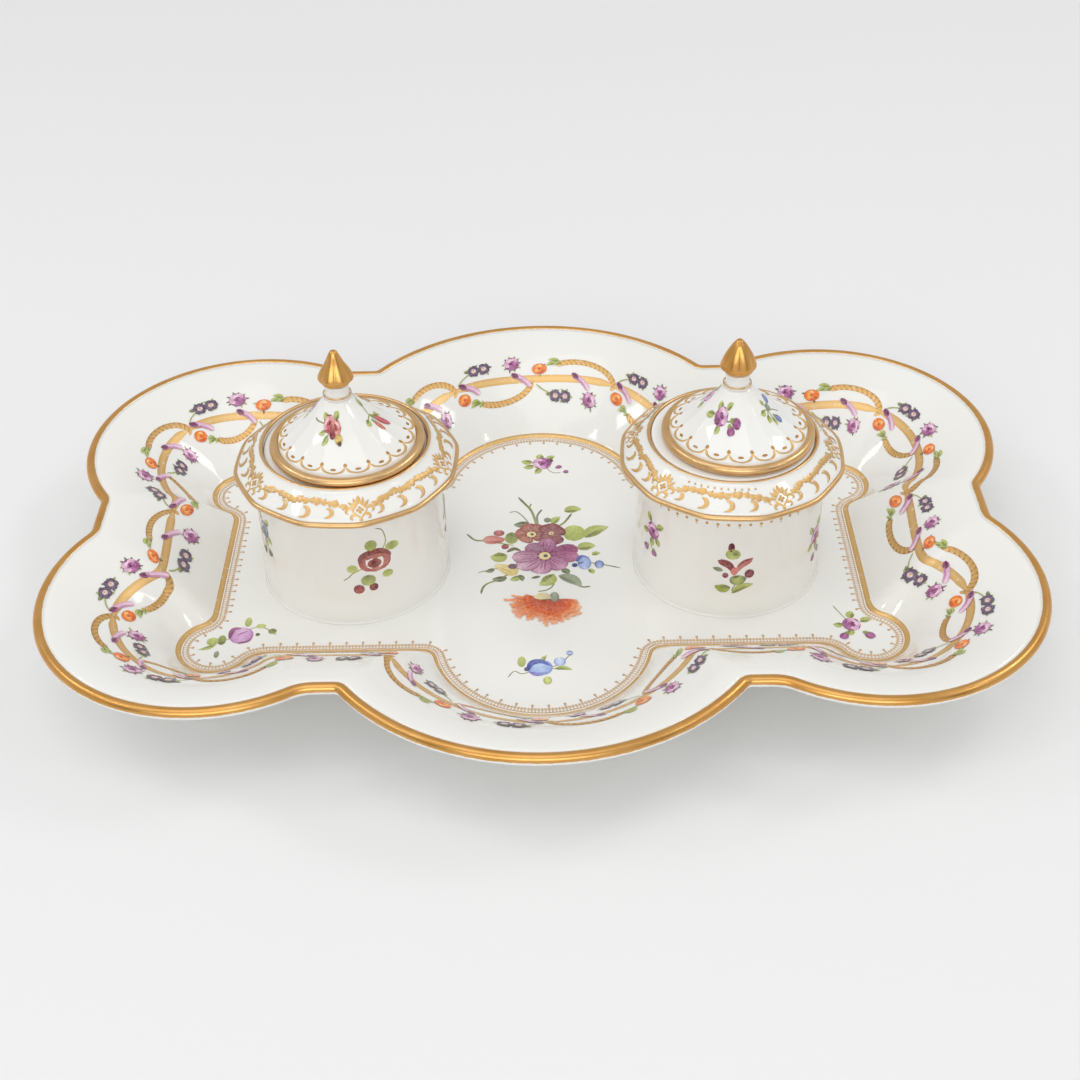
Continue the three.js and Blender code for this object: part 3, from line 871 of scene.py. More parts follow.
# A bouquet in the old German manner lies in the middle of the floor, with a carnation that has
# dropped from it. Single sprigs fill the rest of the floor, one in each front corner.
red_brown, red_dark = "#A3524F", "#6E2230"
blue, blue_pale, blue_dark = "#7E92D2", "#C3D3F4", "#3A4688"
yellow, yellow_pale = "#DDC377", "#F0E3B4"
rose_inks = {
    "mauve": (mauve_pale, mauve, mauve_dark),
    "salmon": ("#EDA79B", "#D0706A", "#7C2632"),
    "pink": ("#F2C3C0", "#CF6A74", "#86243C"),
}


def open_flower(centre, turns, lengths, widths, inner, outer, rim, heart_size):
    """A flower seen from above: petals about a pale heart with dark stamens."""
    found = []
    for turn, length, width, ink, tip in zip(turns, lengths, widths, inner, outer):
        way = length * way_at(turn)
        side = 1j * way_at(turn) * width * 0.22
        path = [centre + way * share for share in (0.08, 0.5, 1.0)]
        found.append(touch(path, width, ink, tip, rim, "petal", steps=7))
        for vein in (-side, side * 0.1, side):
            path = [centre + way * 0.25 + vein * 0.4, centre + way * 0.8 + vein]
            found.append(touch(path, width * 0.09, rim, ink))
    found.append(dot(centre, heart_size, yellow_pale, rim=yellow))
    for turn in np.arange(0, 360, 40):
        found.append(dot(centre + heart_size * 0.6 * way_at(turn), heart_size * 0.2, red_dark))
    return [*found, dot(centre + heart_size * 0.08, heart_size * 0.4, "#5B5238")]


def bud(foot, tip, width, ink, dark, calyx=True):
    """A closed flower of three petals in a green cup."""
    way = (tip - foot) / abs(tip - foot)
    side = 1j * way * width * 0.22
    found = []
    for shift, colour in ((side, ink), (-side, dark), (0, ink)):
        path = [foot, (foot + tip) / 2 + shift * 1.3, tip + shift * 0.4]
        found.append(touch(path, width * 0.6, colour, ink, dark, "petal"))
    for shift in (side, -side) if calyx else ():
        path = [foot - way * width * 0.25, foot + (tip - foot) * 0.3 + shift]
        found.append(touch(path, width * 0.35, green, green_dark))
    return found


def tendril(points, width=0.38, ink=green, tip=green_dark):
    return touch(points, width, ink, tip, shape="line")


def blob(centre, width, height, ink, tip=None, rim=None):
    """An oval touch, from its lower end to its upper."""
    path = [centre - height / 2 * 1j, centre + height / 2 * 1j]
    return touch(path, width, ink, tip, rim, "round")


def broad_petal(points, width, ink, tip, rim=None):
    """A petal seen from the side: pointed where it starts, and wide and round at its end."""
    return touch(points, width, ink, tip, rim, "petal")


def carnation(cup):
    """A carnation on its head: ragged petals spread from a grey-green cup."""
    found = []
    turns = [-190, -170, -150, -134, -122, -96, -67, -39, -12]
    reaches = [12.2, 14.0, 13.4, 12.2, 10.6, 11.8, 10.6, 9.2, 7.8]
    for ink, tip, size, count in [
        ("#E06A30", "#F8B48A", 1.0, 56), ("#CE501E", "#F2965F", 0.84, 38),
        ("#B03E1A", "#E46A34", 0.62, 26),
    ]:
        for turn in np.linspace(-190, -12, count) + hand.normal(0, 2.0, count):
            way = way_at(turn)
            reach = np.interp(turn, turns, reaches) * size * (1 + hand.normal(0, 0.07))
            edge = cup + way * reach
            root = cup + complex(way.real * reach * 0.4, -0.5)
            path = [root, (root + edge) / 2 + hand.normal(0, 0.2), edge]
            found.append(touch(path, 1.2, ink, tip, ink, "petal", steps=4))
            for nick in (-0.6j, 0, 0.6j):
                fringe = [edge + (nick * 0.5 - 0.8) * way, edge + (1 + nick) * 0.75 * way]
                found.append(touch(fringe, 0.36, tip, steps=3))
    sepal = [cup - 6.2 + 0.6j, cup - 3 + 1.2j, cup - 0.4]
    return [
        *found, touch(sepal, 3.4, yellow_pale, "#C9BE94"),
        blob(cup + 0.4 + 0.8j, 2.8, 5.0, "#8F9880", "#A9AF98", rim="#6F7460"),
    ]


grey_leaf = (green_grey, green_dark)
bouquet_stems = [
    tendril([-1.2 + 17j, -1.8 + 22j, -3.2 + 28j, -5 + 31.4j, -7.6 + 35.8j], 0.9),
    tendril([-4 + 29.4j, -3.2 + 32j], 0.5),
    tendril([-4 + 21j, -6.1 + 25j, -8.3 + 27.6j, -10.6 + 27.2j], 0.5, green_grey, green_grey),
    tendril([-1 + 20j, -1.2 + 25j, 0.4 + 28.6j], 0.7, green_grey, "#5E5A50"),
    tendril([5 + 18j, 8 + 21.4j, 10.4 + 26j], 0.8), tendril([9 + 1j, 19 - 1.6j, 25.6 - 3.8j], 0.5),
    tendril([-9 + 9j, -18 + 11.6j, -21.9 + 12.3j, -24.7 + 15.6j], 0.7),
    tendril([-5 - 1j, -13 - 8j, -17.5 - 10.8j, -18.9 - 13j, -19.4 - 15.8j], 0.7),
    tendril([-8 - 2j, -15 - 3.2j, -20.6 - 5j], 0.4, green_grey),
    tendril([4 - 6j, 3.9 - 11.4j, 2 - 14.2j, -1.2 - 15.2j], 0.5),
    tendril([6 - 7j, 12.3 - 12.8j, 15.6 - 13j], 0.7),
]
bouquet_leaves = [
    blob(11 + 15.2j, 7.4, 8.8, green, green_pale, rim="#A3B150"),
    touch([8 + 12j, 13 + 18j], 0.5, green),
    *leaves(
        (14.4 + 12.6j, 22.6 + 18.4j, 5.2), (12 + 6.6j, 18 + 8j, 4.4),
        (8 + 27.2j, 13.8 + 28.4j, 4.0), (4 + 20.4j, 6.6 + 24.4j, 2.8),
        (-4 + 21.4j, -9.2 + 20.4j, 3.4, *grey_leaf),
    ),
    blob(2.2 + 22.6j, 2.4, 2.8, green_dark, green_grey),
    blob(-9.8 + 13j, 4.4, 6.4, green, green_dark, rim=green),
    *leaf(-11.2 + 3.8j, -16.8 + 3.2j, 5.2),
    touch([-11.4 + 5.4j, -9 + 7.2j, -6.6 + 6j], 1.7, "#7A7054", green_dark),
    *leaves(
        (-7 - 7j, -10.2 - 9j, 2.6), (-7.4 - 6.6j, -6.2 - 9.8j, 2.0, *grey_leaf),
        (-11.2 - 7.6j, -16 - 8.4j, 2.8, *grey_leaf), (-15.4 - 3j, -18.2 - 4.6j, 2.0, *grey_leaf),
        (3.8 - 6.4j, -0.8 - 12j, 4.8), (5.4 - 7.2j, 12.8 - 13j, 4.4, "#A3B18F", green_grey),
        (6.4 - 4.2j, 9 - 6.4j, 2.6, *grey_leaf), (15.2 - 4.2j, 16.8 - 6.6j, 2.0),
        (16.6 + 3.2j, 19.4 + 4.2j, 2.0),
    ),
    touch([-0.4 - 7.4j, -3.4 - 8.4j], 1.3, green_dark),
]
bouquet_buds = [
    blob(-14 + 15.8j, 3.6, 3.4, "#B5605E", "#D08A84", rim="#8E3A44"),
    broad_petal([-12 + 12.4j, -15.4 + 12.2j, -19.4 + 12.4j], 4.6, "#D08078", "#E3A49A", "#C4706A"),
    touch([-12.4 + 11.2j, -15.6 + 11j, -18.4 + 11.4j], 1.2, "#B5504E", "#C9706A"),
    dot(-11.9 + 8.4j, 2.6, red_brown, rim=red_dark),
    broad_petal([-15.2 - 1.2j, -11.4 - 3.4j, -7.8 - 6.2j], 4.8, yellow_pale, yellow, yellow),
    touch([-13.6 - 2.6j, -9 - 5.4j], 0.7, "#CDB266"),
    dot(-9.4 - 2.2j, 3.0, "#7A5668", rim=violet_dark),
]
bouquet_flowers = [
    *open_flower(
        -3.2 + 14.8j, [172, 104, 59, 340, 231], [5.6, 6.2, 6.2, 4.4, 5.0], [5.8] * 5,
        ["#CF9880"] * 5, ["#B56A5C", "#A5584C", "#93484A", "#8E4044", "#B87464"], "#8E4A44", 3.2,
    ),
    *open_flower(
        3.4 + 15.2j, [123, 84, 24, 292, 235], [5.4, 5.6, 5.0, 6.4, 4.4], [5.4] * 5,
        ["#B5807A"] * 5, ["#8E4A48", "#8A4444", "#762E38", "#7A2F44", "#94504C"], red_dark, 1.8,
    ),
    *open_flower(
        1.1 + 3.1j, [82, 21, 356, 130, 314, 257, 215, 183],
        [9.4, 11.8, 11.4, 8.4, 9.4, 9.6, 10.8, 10.8], [6.4, 6.6, 6.4, 6.4, 7.2, 7.8, 7.4, 6.6],
        ["#8C4670", "#7C2C58", "#964470", "#8C5C78", "#A85A88", "#B46E94", "#B87C9A", "#AC7290"],
        ["#C690AE", "#A04A74", "#CA84A6", "#B08498", "#DAA8C2", "#E2B8CC", "#EACADA", "#DCB6C8"],
        "#965078", 4.0,
    ),
    blob(14 - 1j, 4.4, 6.8, blue_pale, "#A9B6E0", rim=blue),
    blob(18.8 - 1.8j, 3.0, 4.2, blue_pale, blue, rim=blue_dark),
    touch([11.4 - 0.4j, 13 + 2.4j, 15.8 + 1.6j], 1.5, blue_dark, blue),
    dot(10.8 - 2j, 2.0, blue_dark), touch([11.8 - 1.4j, 14 - 0.4j], 0.9, blue_dark, blue),
    *carnation(3.6 - 19.2j),
]


def sprig(heart, flower, leaf_tips=(), stems=()):
    """A cut sprig: thin stems and leaves that point away from a flower, and the flower on top."""
    found = [tendril([heart, *points], 0.32) for points in stems]
    for tip, width in leaf_tips:
        found.append(tendril([heart, tip], 0.3))
        found += leaf(heart + (tip - heart) * 0.45, tip, width)
    return found + flower


floor_sprigs = [
    sprig(
        0.7 + 55.7j,
        [
            *rose(0.7 + 55.7j, 6.8, *rose_inks["mauve"], 200), dot(3.4 + 57.2j, 2.4, mauve_dark),
            *bud(5.4 + 52.6j, 7.4 + 54j, 1.6, mauve, mauve_dark, False),
            *bud(8 + 50.2j, 9.8 + 50.6j, 1.6, mauve, mauve_dark, False),
        ],
        [(-6.6 + 57.6j, 2.8), (-6 + 53.4j, 2.6), (0.2 + 61.4j, 2.8), (5.2 + 60.2j, 2.4),
         (-1.8 + 49.6j, 2.4)],
        [[4 + 50.4j, 7.2 + 50j]],
    ),
    sprig(
        -0.9 - 51.5j,
        [
            blob(-0.9 - 51.4j, 7.8, 7.4, "#A9C3EE", "#CFE0F8", rim=blue),
            touch(
                [-4.6 - 53j, -3.4 - 49.4j, -0.6 - 48.6j, 2.6 - 50.8j], 2.2, "#4A559C", "#6A78C0",
            ),
            touch([-4.2 - 53.2j, -1.6 - 54.4j, 1.8 - 53.6j], 1.6, "#8478C4", "#97A6DE"),
            dot(-4.8 - 52j, 1.8, "#3A3A66"),
            blob(5.2 - 48.8j, 3.6, 4.0, blue_pale, "#E6EEF8", rim=blue),
            dot(8.3 - 45j, 2.2, blue_pale, rim=blue_dark),
            blob(-6.4 - 48.6j, 2.5, 4.8, green, green_pale),
            blob(1.4 - 57.2j, 2.6, 3.6, green_pale, "#D9DC8E", rim=green),
        ],
        [(9 - 52.6j, 1.8), (1.2 - 45.8j, 1.4)],
        [[4.6 - 50.4j, 8.2 - 46j], [-6 - 54j, -8.6 - 52.8j, -10.6 - 55.6j]],
    ),
    sprig(
        -96 - 35j,
        [
            blob(-93.4 - 34.2j, 7.4, 8.0, "#CE9ACB", "#E6C6E4", rim="#B777B2"),
            touch([-97 - 36j, -96.4 - 31.4j, -93.4 - 30.6j], 1.7, mauve_dark, mauve),
            touch([-94.6 - 37.8j, -91 - 36.8j, -90 - 33.8j], 0.9, mauve_dark, mauve),
            touch([-95 - 34j, -91.4 - 32j], 0.7, mauve),
            blob(-99.2 - 36.2j, 2.6, 4.6, green_dark, green),
            blob(-102 - 36.8j, 3.6, 3.8, green, green_pale),
            blob(-100 - 42.8j, 1.6, 3.2, "#8A8468", green_grey),
            blob(-92 - 27.8j, 2.2, 4.6, green, green_pale),
            blob(-87.8 - 29.8j, 3.0, 2.2, green_pale),
            blob(-84 - 32.4j, 2.6, 2.6, green, green_dark),
            blob(-88.4 - 33.8j, 1.4, 1.4, green_dark),
        ],
        [(-106 - 40.6j, 1.4)], [[-90 - 30.6j, -86.4 - 30.8j, -82.6 - 34.2j]],
    ),
    sprig(
        95.9 - 33.8j,
        [
            *rose(95.9 - 33.8j, 6.0, *rose_inks["mauve"], 10),
            *bud(99.4 - 37.6j, 102 - 40.4j, 2.6, mauve, mauve_dark),
            *bud(94 - 37.8j, 92 - 40.6j, 2.4, mauve, mauve_dark),
        ],
        [(96.8 - 27.4j, 2.8), (102.6 - 31.4j, 2.6), (90.2 - 33.6j, 2.4), (94.4 - 39j, 2.4)],
        [[93.4 - 29j, 91.4 - 24.6j]],
    ),
]
bouquet = bouquet_stems + bouquet_leaves + bouquet_buds + bouquet_flowers
paint(
    "floor_flowers", [bouquet, *floor_sprigs], on_floor, "tray", enamel,
    dome=enamel_dome,
)

# Each well body is a thrown porcelain cylinder, luted to the tray's floor with slip, which
# leaves a soft foot. Towards the hood its round wall is pared to twelve hardly visible panels.
wells = {"left": -59.8, "right": 59.8}
panel_count = 12
panel_steps = 16
first_panel_edge = math.radians(-78.5)
panel_softness = 0.09
well_radius = 29.5
well_bore = 26.3
well_height = 41.0
well_foot_flare = 0.5
well_foot_rise = 1.2
well_panels = 0.3


def panel_radius(turn, corner_radius, share):
    """The radius of an outline between a circle, at share 0, and a polygon with its corners at
    the given radius, at share 1."""
    half = math.pi / panel_count
    from_corner = half - abs((turn - first_panel_edge) % (2 * half) - half)
    softened = np.sqrt(from_corner ** 2 + panel_softness ** 2)
    flat = corner_radius * math.cos(half) / np.cos(half - softened)
    return corner_radius * (1 - share) + flat * share


def panel_ring(axis, corner_radius, share, height):
    steps = panel_count * panel_steps
    turn = first_panel_edge + np.arange(steps) / steps * 2 * math.pi
    plan = axis + panel_radius(turn, corner_radius, share) * np.exp(1j * turn)
    return at_height(plan, floor_top + height)


def sweep(start, end, bow, steps):
    """Pairs of numbers from start to end, bowed to their left by a share of their distance."""
    start, end = complex(*start), complex(*end)
    middle = (start + end) / 2 + 1j * (end - start) * bow * 2
    return [(point.real, point.imag) for point in bend(start, middle, end, steps)]


for side, axis in wells.items():
    foot = sweep((well_radius + well_foot_flare, 0.0), (well_radius, well_foot_rise), 0.2, 6)
    rings = [panel_ring(axis, well_bore, 0, 0)]
    rings += [panel_ring(axis, radius, 0, height) for radius, height in foot]
    for share in np.linspace(0, 1, 8)[1:]:
        height = well_foot_rise + (well_height - well_foot_rise) * share
        rings.append(panel_ring(axis, well_radius, well_panels * share, height))
    rings.append(panel_ring(axis, well_bore, 0, well_height))
    loft(f"{side}_well_wall", rings, "tray", porcelain, [f"{side}_well_body"])


# Four sprigs in enamel stand round each well, under the hood: one in front, one on each side
# and one behind. Their flowers differ from well to well.
def on_well(axis):
    """The place on a well's wall of points given as a length round it from the front, to the
    right, plus i times their height above the floor."""
    def place(flat):
        turn = flat.real / well_radius - math.pi / 2
        share = np.clip((flat.imag - well_foot_rise) / (well_height - well_foot_rise), 0, 1)
        radius = panel_radius(turn, well_radius, well_panels * share)
        return at_height(axis + radius * np.exp(1j * turn), floor_top + flat.imag)
    return place


def round_well(degrees, height):
    return complex(math.radians(degrees) * well_radius, height)


def small_sprig(place, inks, lean=0.0):
    """A sprig of the usual kind: a rose, two buds below it and five leaves."""
    way = np.exp(1j * math.radians(lean))
    tips = [
        (-3 + 6j, 2.4), (4.6 + 4.4j, 2.4), (-5.6 - 2.6j, 2.2), (3.6 - 4.4j, 2.2),
        (-0.4 - 6.4j, 2.4),
    ]
    buds = bud(place + (-1.8 - 7.2j) * way, place + (-3.2 - 9.2j) * way, 2.2, inks[1], inks[2])
    buds += bud(place + (1.4 - 7j) * way, place + (2.2 - 9j) * way, 2.2, inks[1], inks[2])
    leaves = [(place + tip * way, width) for tip, width in tips]
    stems = [[place + (-0.6 - 5j) * way, place + (0.4 - 7.4j) * way]]
    return sprig(place, rose(place, 6.0, *inks, turn=lean + 100) + buds, leaves, stems)


def moved(motif, by):
    """The same touches in another place."""
    return [(path + by, *rest) for path, *rest in motif]


left_rose = sprig(
    0,
    [
        blob(0, 10.2, 7.8, "#CB8A7E", "#BC6E64", rim="#A04A44"),
        touch(
            [-5 - 0.2j, -4.2 + 2.4j, -1.4 + 3.7j, 2 + 3.7j, 4.6 + 2j, 5 + 0.4j],
            2.1, "#7A3232", "#95463F",
        ),
        touch([-3 + 1.2j, -0.6 + 2.2j, 2.6 + 1.4j], 1.3, "#A8554E", "#C4786C"),
        touch([-4.4 - 1j, -2.6 - 2.6j, 0.6 - 3.2j], 1.0, "#C46A62", "#B5625A"),
        touch([3.4 - 2.2j, 4.4 - 0.4j], 0.8, "#C9786C"),
        blob(-0.2 - 0.5j, 4.4, 3.4, "#7E2C28", "#8E3A34", rim="#A8554C"),
        dot(-0.4 - 0.4j, 1.6, "#5E1E1E"),
        blob(-5.7 - 9.7j, 3.4, 3.6, "#BE6A62", "#7A2A30", rim="#98403E"),
        blob(-1.1 - 9.5j, 2.8, 3.0, "#A34A46", "#7A2A30", rim="#7A2A30"),
        dot(-0.3 - 9.6j, 1.2, "#3E1A20"),
        blob(-0.9 + 6.4j, 3.8, 4.0, green, "#8A9A54", rim=green),
        blob(5.8 + 4.5j, 4.6, 3.2, green, "#8A9A54", rim=green_pale),
        blob(-7.2 - 1.7j, 3.4, 3.0, green_pale, green, rim=green_pale),
        blob(3.7 - 5.5j, 3.4, 2.8, green_pale, green),
        blob(-2.6 - 6.6j, 4.6, 4.2, green_pale, green_dark, rim=green),
    ],
    stems=[
        [3.3 + 5.3j, 3.9 + 7.9j, 3 + 11.3j, 0.9 + 12.4j], [-6.7 - 3.2j, -8.3 - 4.7j, -10.2 - 6.1j],
    ],
)
right_lily = sprig(
    0,
    [
        blob(-2.6 + 12.1j, 2.0, 3.6, "#7A2A38", "#54182A"),
        blob(-2.0 + 9.5j, 4.6, 4.0, green_pale, green, rim=green),
        blob(-1.2 + 10.0j, 1.8, 2.2, green_dark, green),
        touch([-4.8 + 3.2j, -8 + 4.0j], 1.7, green_grey, green_dark),
        broad_petal([-1.4 + 2.1j, -3 + 5.3j, -6.6 + 7.0j], 2.6, "#A3453E", "#7E2A30", "#8E3434"),
        touch([-2.2 + 3.9j, -3.4 + 6.5j], 1.8, "#7E2A30"),
        broad_petal([-1 + 2.1j, 0.8 + 5.3j, 4.2 + 7.6j], 2.2, "#D98F84", "#B5625A"),
        touch([-0.6 + 4.9j, 1.6 + 6.9j, 4.4 + 7.9j], 0.9, "#98403E", "#8E3434"),
        touch([-1.3 + 1.4j, -1.4 + 4.8j], 2.2, "#D9807A"),
        dot(-4 + 1.4j, 2.0, "#98404A", rim=red_dark),
        blob(3.4 + 1.9j, 3.0, 3.4, "#98404A", "#6E1E2C", rim="#6E1E2C"),
        touch([0.8 - 0.5j, 2.6 + 0.7j], 2.0, green_grey, "#A08A70"),
        blob(-0.2 - 0.4j, 4.8, 4.0, green, green_pale, rim=green_dark),
        touch([-1.8 + 0.5j, 0.4 + 1.2j], 0.9, green_dark),
        *leaf(-2.2 - 3.3j, -7.2 - 3.0j, 3.2, "#8A9A44", green), *leaf(-1.8 - 5.5j, 5 - 2.3j, 2.4),
    ],
    stems=[[-0.6 - 1.8j, -1.6 - 3.9j, -1.4 - 5.3j]],
)
well_sprigs = {
    "left": [
        moved(left_rose, round_well(18.3, 23.4)),
        small_sprig(round_well(-62, 26), ("#A4AFC6", "#74829A", "#4A5568"), 8),
        small_sprig(round_well(92, 24), rose_inks["mauve"]),
        small_sprig(round_well(180, 24), rose_inks["salmon"]),
    ],
    "right": [
        moved(right_lily, round_well(1.1, 15.3)),
        small_sprig(round_well(-58, 24), rose_inks["mauve"], -6),
        small_sprig(round_well(62, 20), rose_inks["mauve"], 12),
        small_sprig(round_well(180, 24), (blue_pale, blue, blue_dark)),
    ],
}
for side, axis in wells.items():
    paint(
        f"{side}_well_flowers", well_sprigs[side], on_well(axis), "tray", enamel,
        dome=enamel_dome,
    )

# A hood of twelve sloping panels is pressed apart and luted onto each well. It ends in a small
# bead at the round mouth, and a ledge inside the mouth carries the liner pot.
hood_radius = 35.9
hood_edge_height = 1.8
hood_seat_radius = 34.7
hood_edge_bottom = well_height - 0.1
hood_edge_top = hood_edge_bottom + hood_edge_height
mouth_radius = 25.3
mouth_bead = 1.3
mouth_top = well_height + 8.6
mouth_bead_height = 0.7
mouth_bead_foot = mouth_top - mouth_bead_height
mouth_bead_middle = mouth_radius + mouth_bead / 2
ledge_radius = 22.6
ledge_top = mouth_top - 3.6
ledge_thickness = 2.0
mouth_round = 0.3


def hood_slope(share):
    """Radius, polygon share and height of the hood's panels from the edge, 0, to the bead, 1."""
    radius = hood_seat_radius + (mouth_radius + mouth_bead - hood_seat_radius) * share
    return radius, 1 - share, hood_edge_top + (mouth_bead_foot - hood_edge_top) * share


def rounded(centre, half_width, half_height, start, end, steps):
    """Radius and height along a rounded edge. Angles are in degrees from outward."""
    angles = np.radians(np.linspace(start, end, steps + 1))
    across, up = centre
    return [*zip(across + half_width * np.cos(angles), up + half_height * np.sin(angles))]


for side, axis in wells.items():
    bead = rounded(
        (mouth_bead_middle, mouth_bead_foot), mouth_bead / 2, mouth_bead_height, 15, 180, 8,
    )
    rows = [
        (well_bore, 0, well_height), (well_radius, well_panels, well_height),
        (hood_seat_radius, 1, hood_edge_bottom),
        *[hood_slope(share) for share in np.linspace(0, 1, 9)],
        *[(radius, 0, height) for radius, height in bead],
        (mouth_radius, 0, ledge_top + mouth_round), (mouth_radius, 0, ledge_top),
        (ledge_radius, 0, ledge_top), (ledge_radius, 0, ledge_top - ledge_thickness),
    ]
    rings = [panel_ring(axis, *row) for row in rows]
    loft(f"{side}_hood_panels", rings, "tray", porcelain, [f"{side}_hood"])

# A narrow bead runs round the hood's twelve-sided edge and is gilded all over. The gold on the
# hoods and on the lids' rolls is thinner than on the tray's lip, so that it looks paler.
soft_gold = (
    "gilding", burnished_gold("soft_burnished_gold_on_porcelain", "#D2A268", "#EDCB98"),
)
for side, axis in wells.items():
    bead_half = hood_edge_height / 2
    edge = rounded(
        (hood_seat_radius, hood_edge_bottom + bead_half), hood_radius - hood_seat_radius,
        bead_half, -90, 90, 12,
    )
    rings = [panel_ring(axis, radius, 1, height) for radius, height in edge]
    loft(
        f"{side}_hood_bead", rings, "tray", soft_gold, [f"{side}_hood_gilt_edge"],
        bare=np.zeros(len(rings)),
    )

# The hoods are gilded with the brush: diamonds, each round a flower of four dots, are joined
# by feathery scrolls with crescents below them, and a gold ring on the bead at the mouth. The
# gilder set them out by eye, so that their distances differ.
hood_middle = 31.0
hood_slope_length = math.hypot(
    hood_seat_radius - mouth_radius - mouth_bead, mouth_bead_foot - hood_edge_top,
)
cartouches = {"left": [-59, 12, 76, 132, 188, 245], "right": [-47, 22.5, 84, 144, 202, 257]}
mouth_gold_lift = 0.04


def on_hood(axis):
    """The place on a hood of points given as a length round it from the front plus i times
    their distance up the slope from the gilt edge."""
    def place(flat):
        turn = flat.real / hood_middle - math.pi / 2
        radius, flatness, height = hood_slope(flat.imag / hood_slope_length)
        plan = axis + panel_radius(turn, radius, flatness) * np.exp(1j * turn)
        return at_height(plan, floor_top + height)
    return place


def cartouche(middle):
    """A diamond that holds a four-petal flower, set about with leaves and curls."""
    centre = middle + 3.9j
    corners = [centre + corner for corner in (-2.7j, 2.3, 2.7j, -2.3, -2.7j)]
    found = [
        touch(side, 0.6, gilt, rim=gilt_deep, shape="line") for side in zip(corners, corners[1:])
    ]
    found += [dot(centre + way * 0.72, 0.95, gilt_deep) for way in (1, 1j, -1, -1j)]
    found.append(dot(centre, 0.5, gilt))
    found.append(touch([centre + 2.6j, centre + 4.7j], 1.3, gilt, gilt_deep))
    found.append(touch([centre - 2.5j, centre - 3.8j], 1.0, gilt, gilt_deep, shape="petal"))
    for side in (-1, 1):
        for points, width in [
            ([0.5 + 2.3j, 1.3 + 3.0j, 1.6 + 4.0j], 1.3),
            ([1.2 + 1.6j, 2.4 + 2.0j, 3.3 + 2.9j], 1.3),
            ([2.0 + 0.6j, 3.5 + 0.7j, 4.1 - 0.6j, 3.2 - 1.2j], 1.1),
            ([1.3 - 1.4j, 2.5 - 1.8j, 2.6 - 2.9j, 1.8 - 3.0j], 1.0),
        ]:
            path = [centre + complex(side * point.real, point.imag) for point in points]
            found.append(touch(path, width, gilt, gilt_deep, shape="comma"))
    return found


def crescent(top, size):
    """A crescent that hangs free below a scroll, its back to the right."""
    points = top + size * np.array([0, 0.9 - 0.3j, 1.2 - 1.1j, 0.75 - 1.9j, -0.35 - 2.3j])
    return touch(points, 0.85 * size, gilt, gilt_deep, gilt_deep)


def scroll(start, end, dotted):
    """The gilding between two cartouches: a feathery swag of thick and thin strokes, crescents
    below it and, on some, a row of dots above."""
    def at(share, height):
        return complex(start + (end - start) * share, height)

    shares = [0.11, 0.19, 0.33, 0.48, 0.63, 0.79, 0.9]
    heights = [4.4, 5.8, 6.9, 6.4, 7.0, 6.3, 4.4]
    path = [at(*point) for point in zip(shares, heights)]
    found = [touch(path, 0.9, gilt, rim=gilt_deep, shape="even")]
    for index, share in enumerate(np.linspace(0.15, 0.86, 15)):
        height = np.interp(share, shares, heights) + hand.normal(0, 0.2)
        width = (1.6, 2.5, 1.9)[index % 3] + hand.normal(0, 0.15)
        middle = at(share + hand.normal(0, 0.006), height)
        lump = [middle - 1.2 + 0.5j, middle, middle + 1.1 - 0.6j]
        found.append(touch(lump, width, gilt, gilt_deep, shape="petal"))
        if index % 2:
            found.append(touch([middle, middle + 0.7 + 1.3j], 0.7, gilt, gilt_deep))
        else:
            found.append(touch([middle + 0.3j, middle - 0.2 - 1.3j], 0.8, gilt, gilt_deep))
    for share, height, size in (
        (0.15, 4.6, 1.35), (0.35, 4.9, 1.6), (0.55, 4.8, 1.65), (0.74, 4.7, 1.45),
    ):
        found.append(crescent(at(share, height), size))
    if dotted:
        found += [dot(at(share, 8.6), 0.7, gilt_deep) for share in np.linspace(0.2, 0.8, 11)]
    return found


for side, axis in wells.items():
    middles = [math.radians(turn) * hood_middle for turn in cartouches[side]]
    after = [*middles[1:], middles[0] + 2 * math.pi * hood_middle]
    gilding = [cartouche(middle) for middle in middles]
    for index, (start, end) in enumerate(zip(middles, after)):
        gilding.append(scroll(start, end, side == "right" and index % 2 == 0))
    paint(
        f"{side}_hood_scrolls", gilding, on_hood(axis), "tray", painted_gold, dome=0.05,
    )
    mouth_line = rounded(
        (mouth_bead_middle, mouth_bead_foot), mouth_bead / 2 + mouth_gold_lift,
        mouth_bead_height + mouth_gold_lift, 28, 174, 12,
    )
    mouth_line.append((mouth_bead_middle, mouth_bead_foot))
    rings = [panel_ring(axis, radius, 0, height) for radius, height in mouth_line]
    loft(
        f"{side}_mouth_gold", rings, "tray", soft_gold,
        bare=[1, 0.6, *[0] * 10, 0.6, 1],
    )

# Under the right hood's edge a row of drops lies on the well: dots of brushed gold, with a
# smaller dot below every second one.
drop_count = 56
drop_height = 35.9
drops = []
for index in range(drop_count):
    place = complex(index * 2 * math.pi * well_radius / drop_count, drop_height)
    drops.append([dot(place, 1.0, gilt_deep)])
    if index % 2 == 0:
        drops[-1].append(dot(place - 1.0j, 0.45, gilt_deep))
paint("right_well_drops", drops, on_well(wells["right"]), "tray", painted_gold)

# A liner pot of the same porcelain holds the ink. It hangs in the well by its flange, and the
# two flanges differ, so that the right lid sits higher than the left.
round_steps = 144
liner_depth = 38.0
liner_radius = 21.8
liner_bore = 19.8
liner_floor = 2.3
liner_corner = 2.5
flange_radius = 25.1
flange_under = ledge_top + 0.3
flange_thickness = {"left": 1.9, "right": 3.2}
flange_corner = 0.5
flange_chamfer = 0.2


def round_ring(axis, radius, height):
    turn = np.arange(round_steps) / round_steps * 2 * math.pi
    return at_height(axis + radius * np.exp(1j * turn), height)


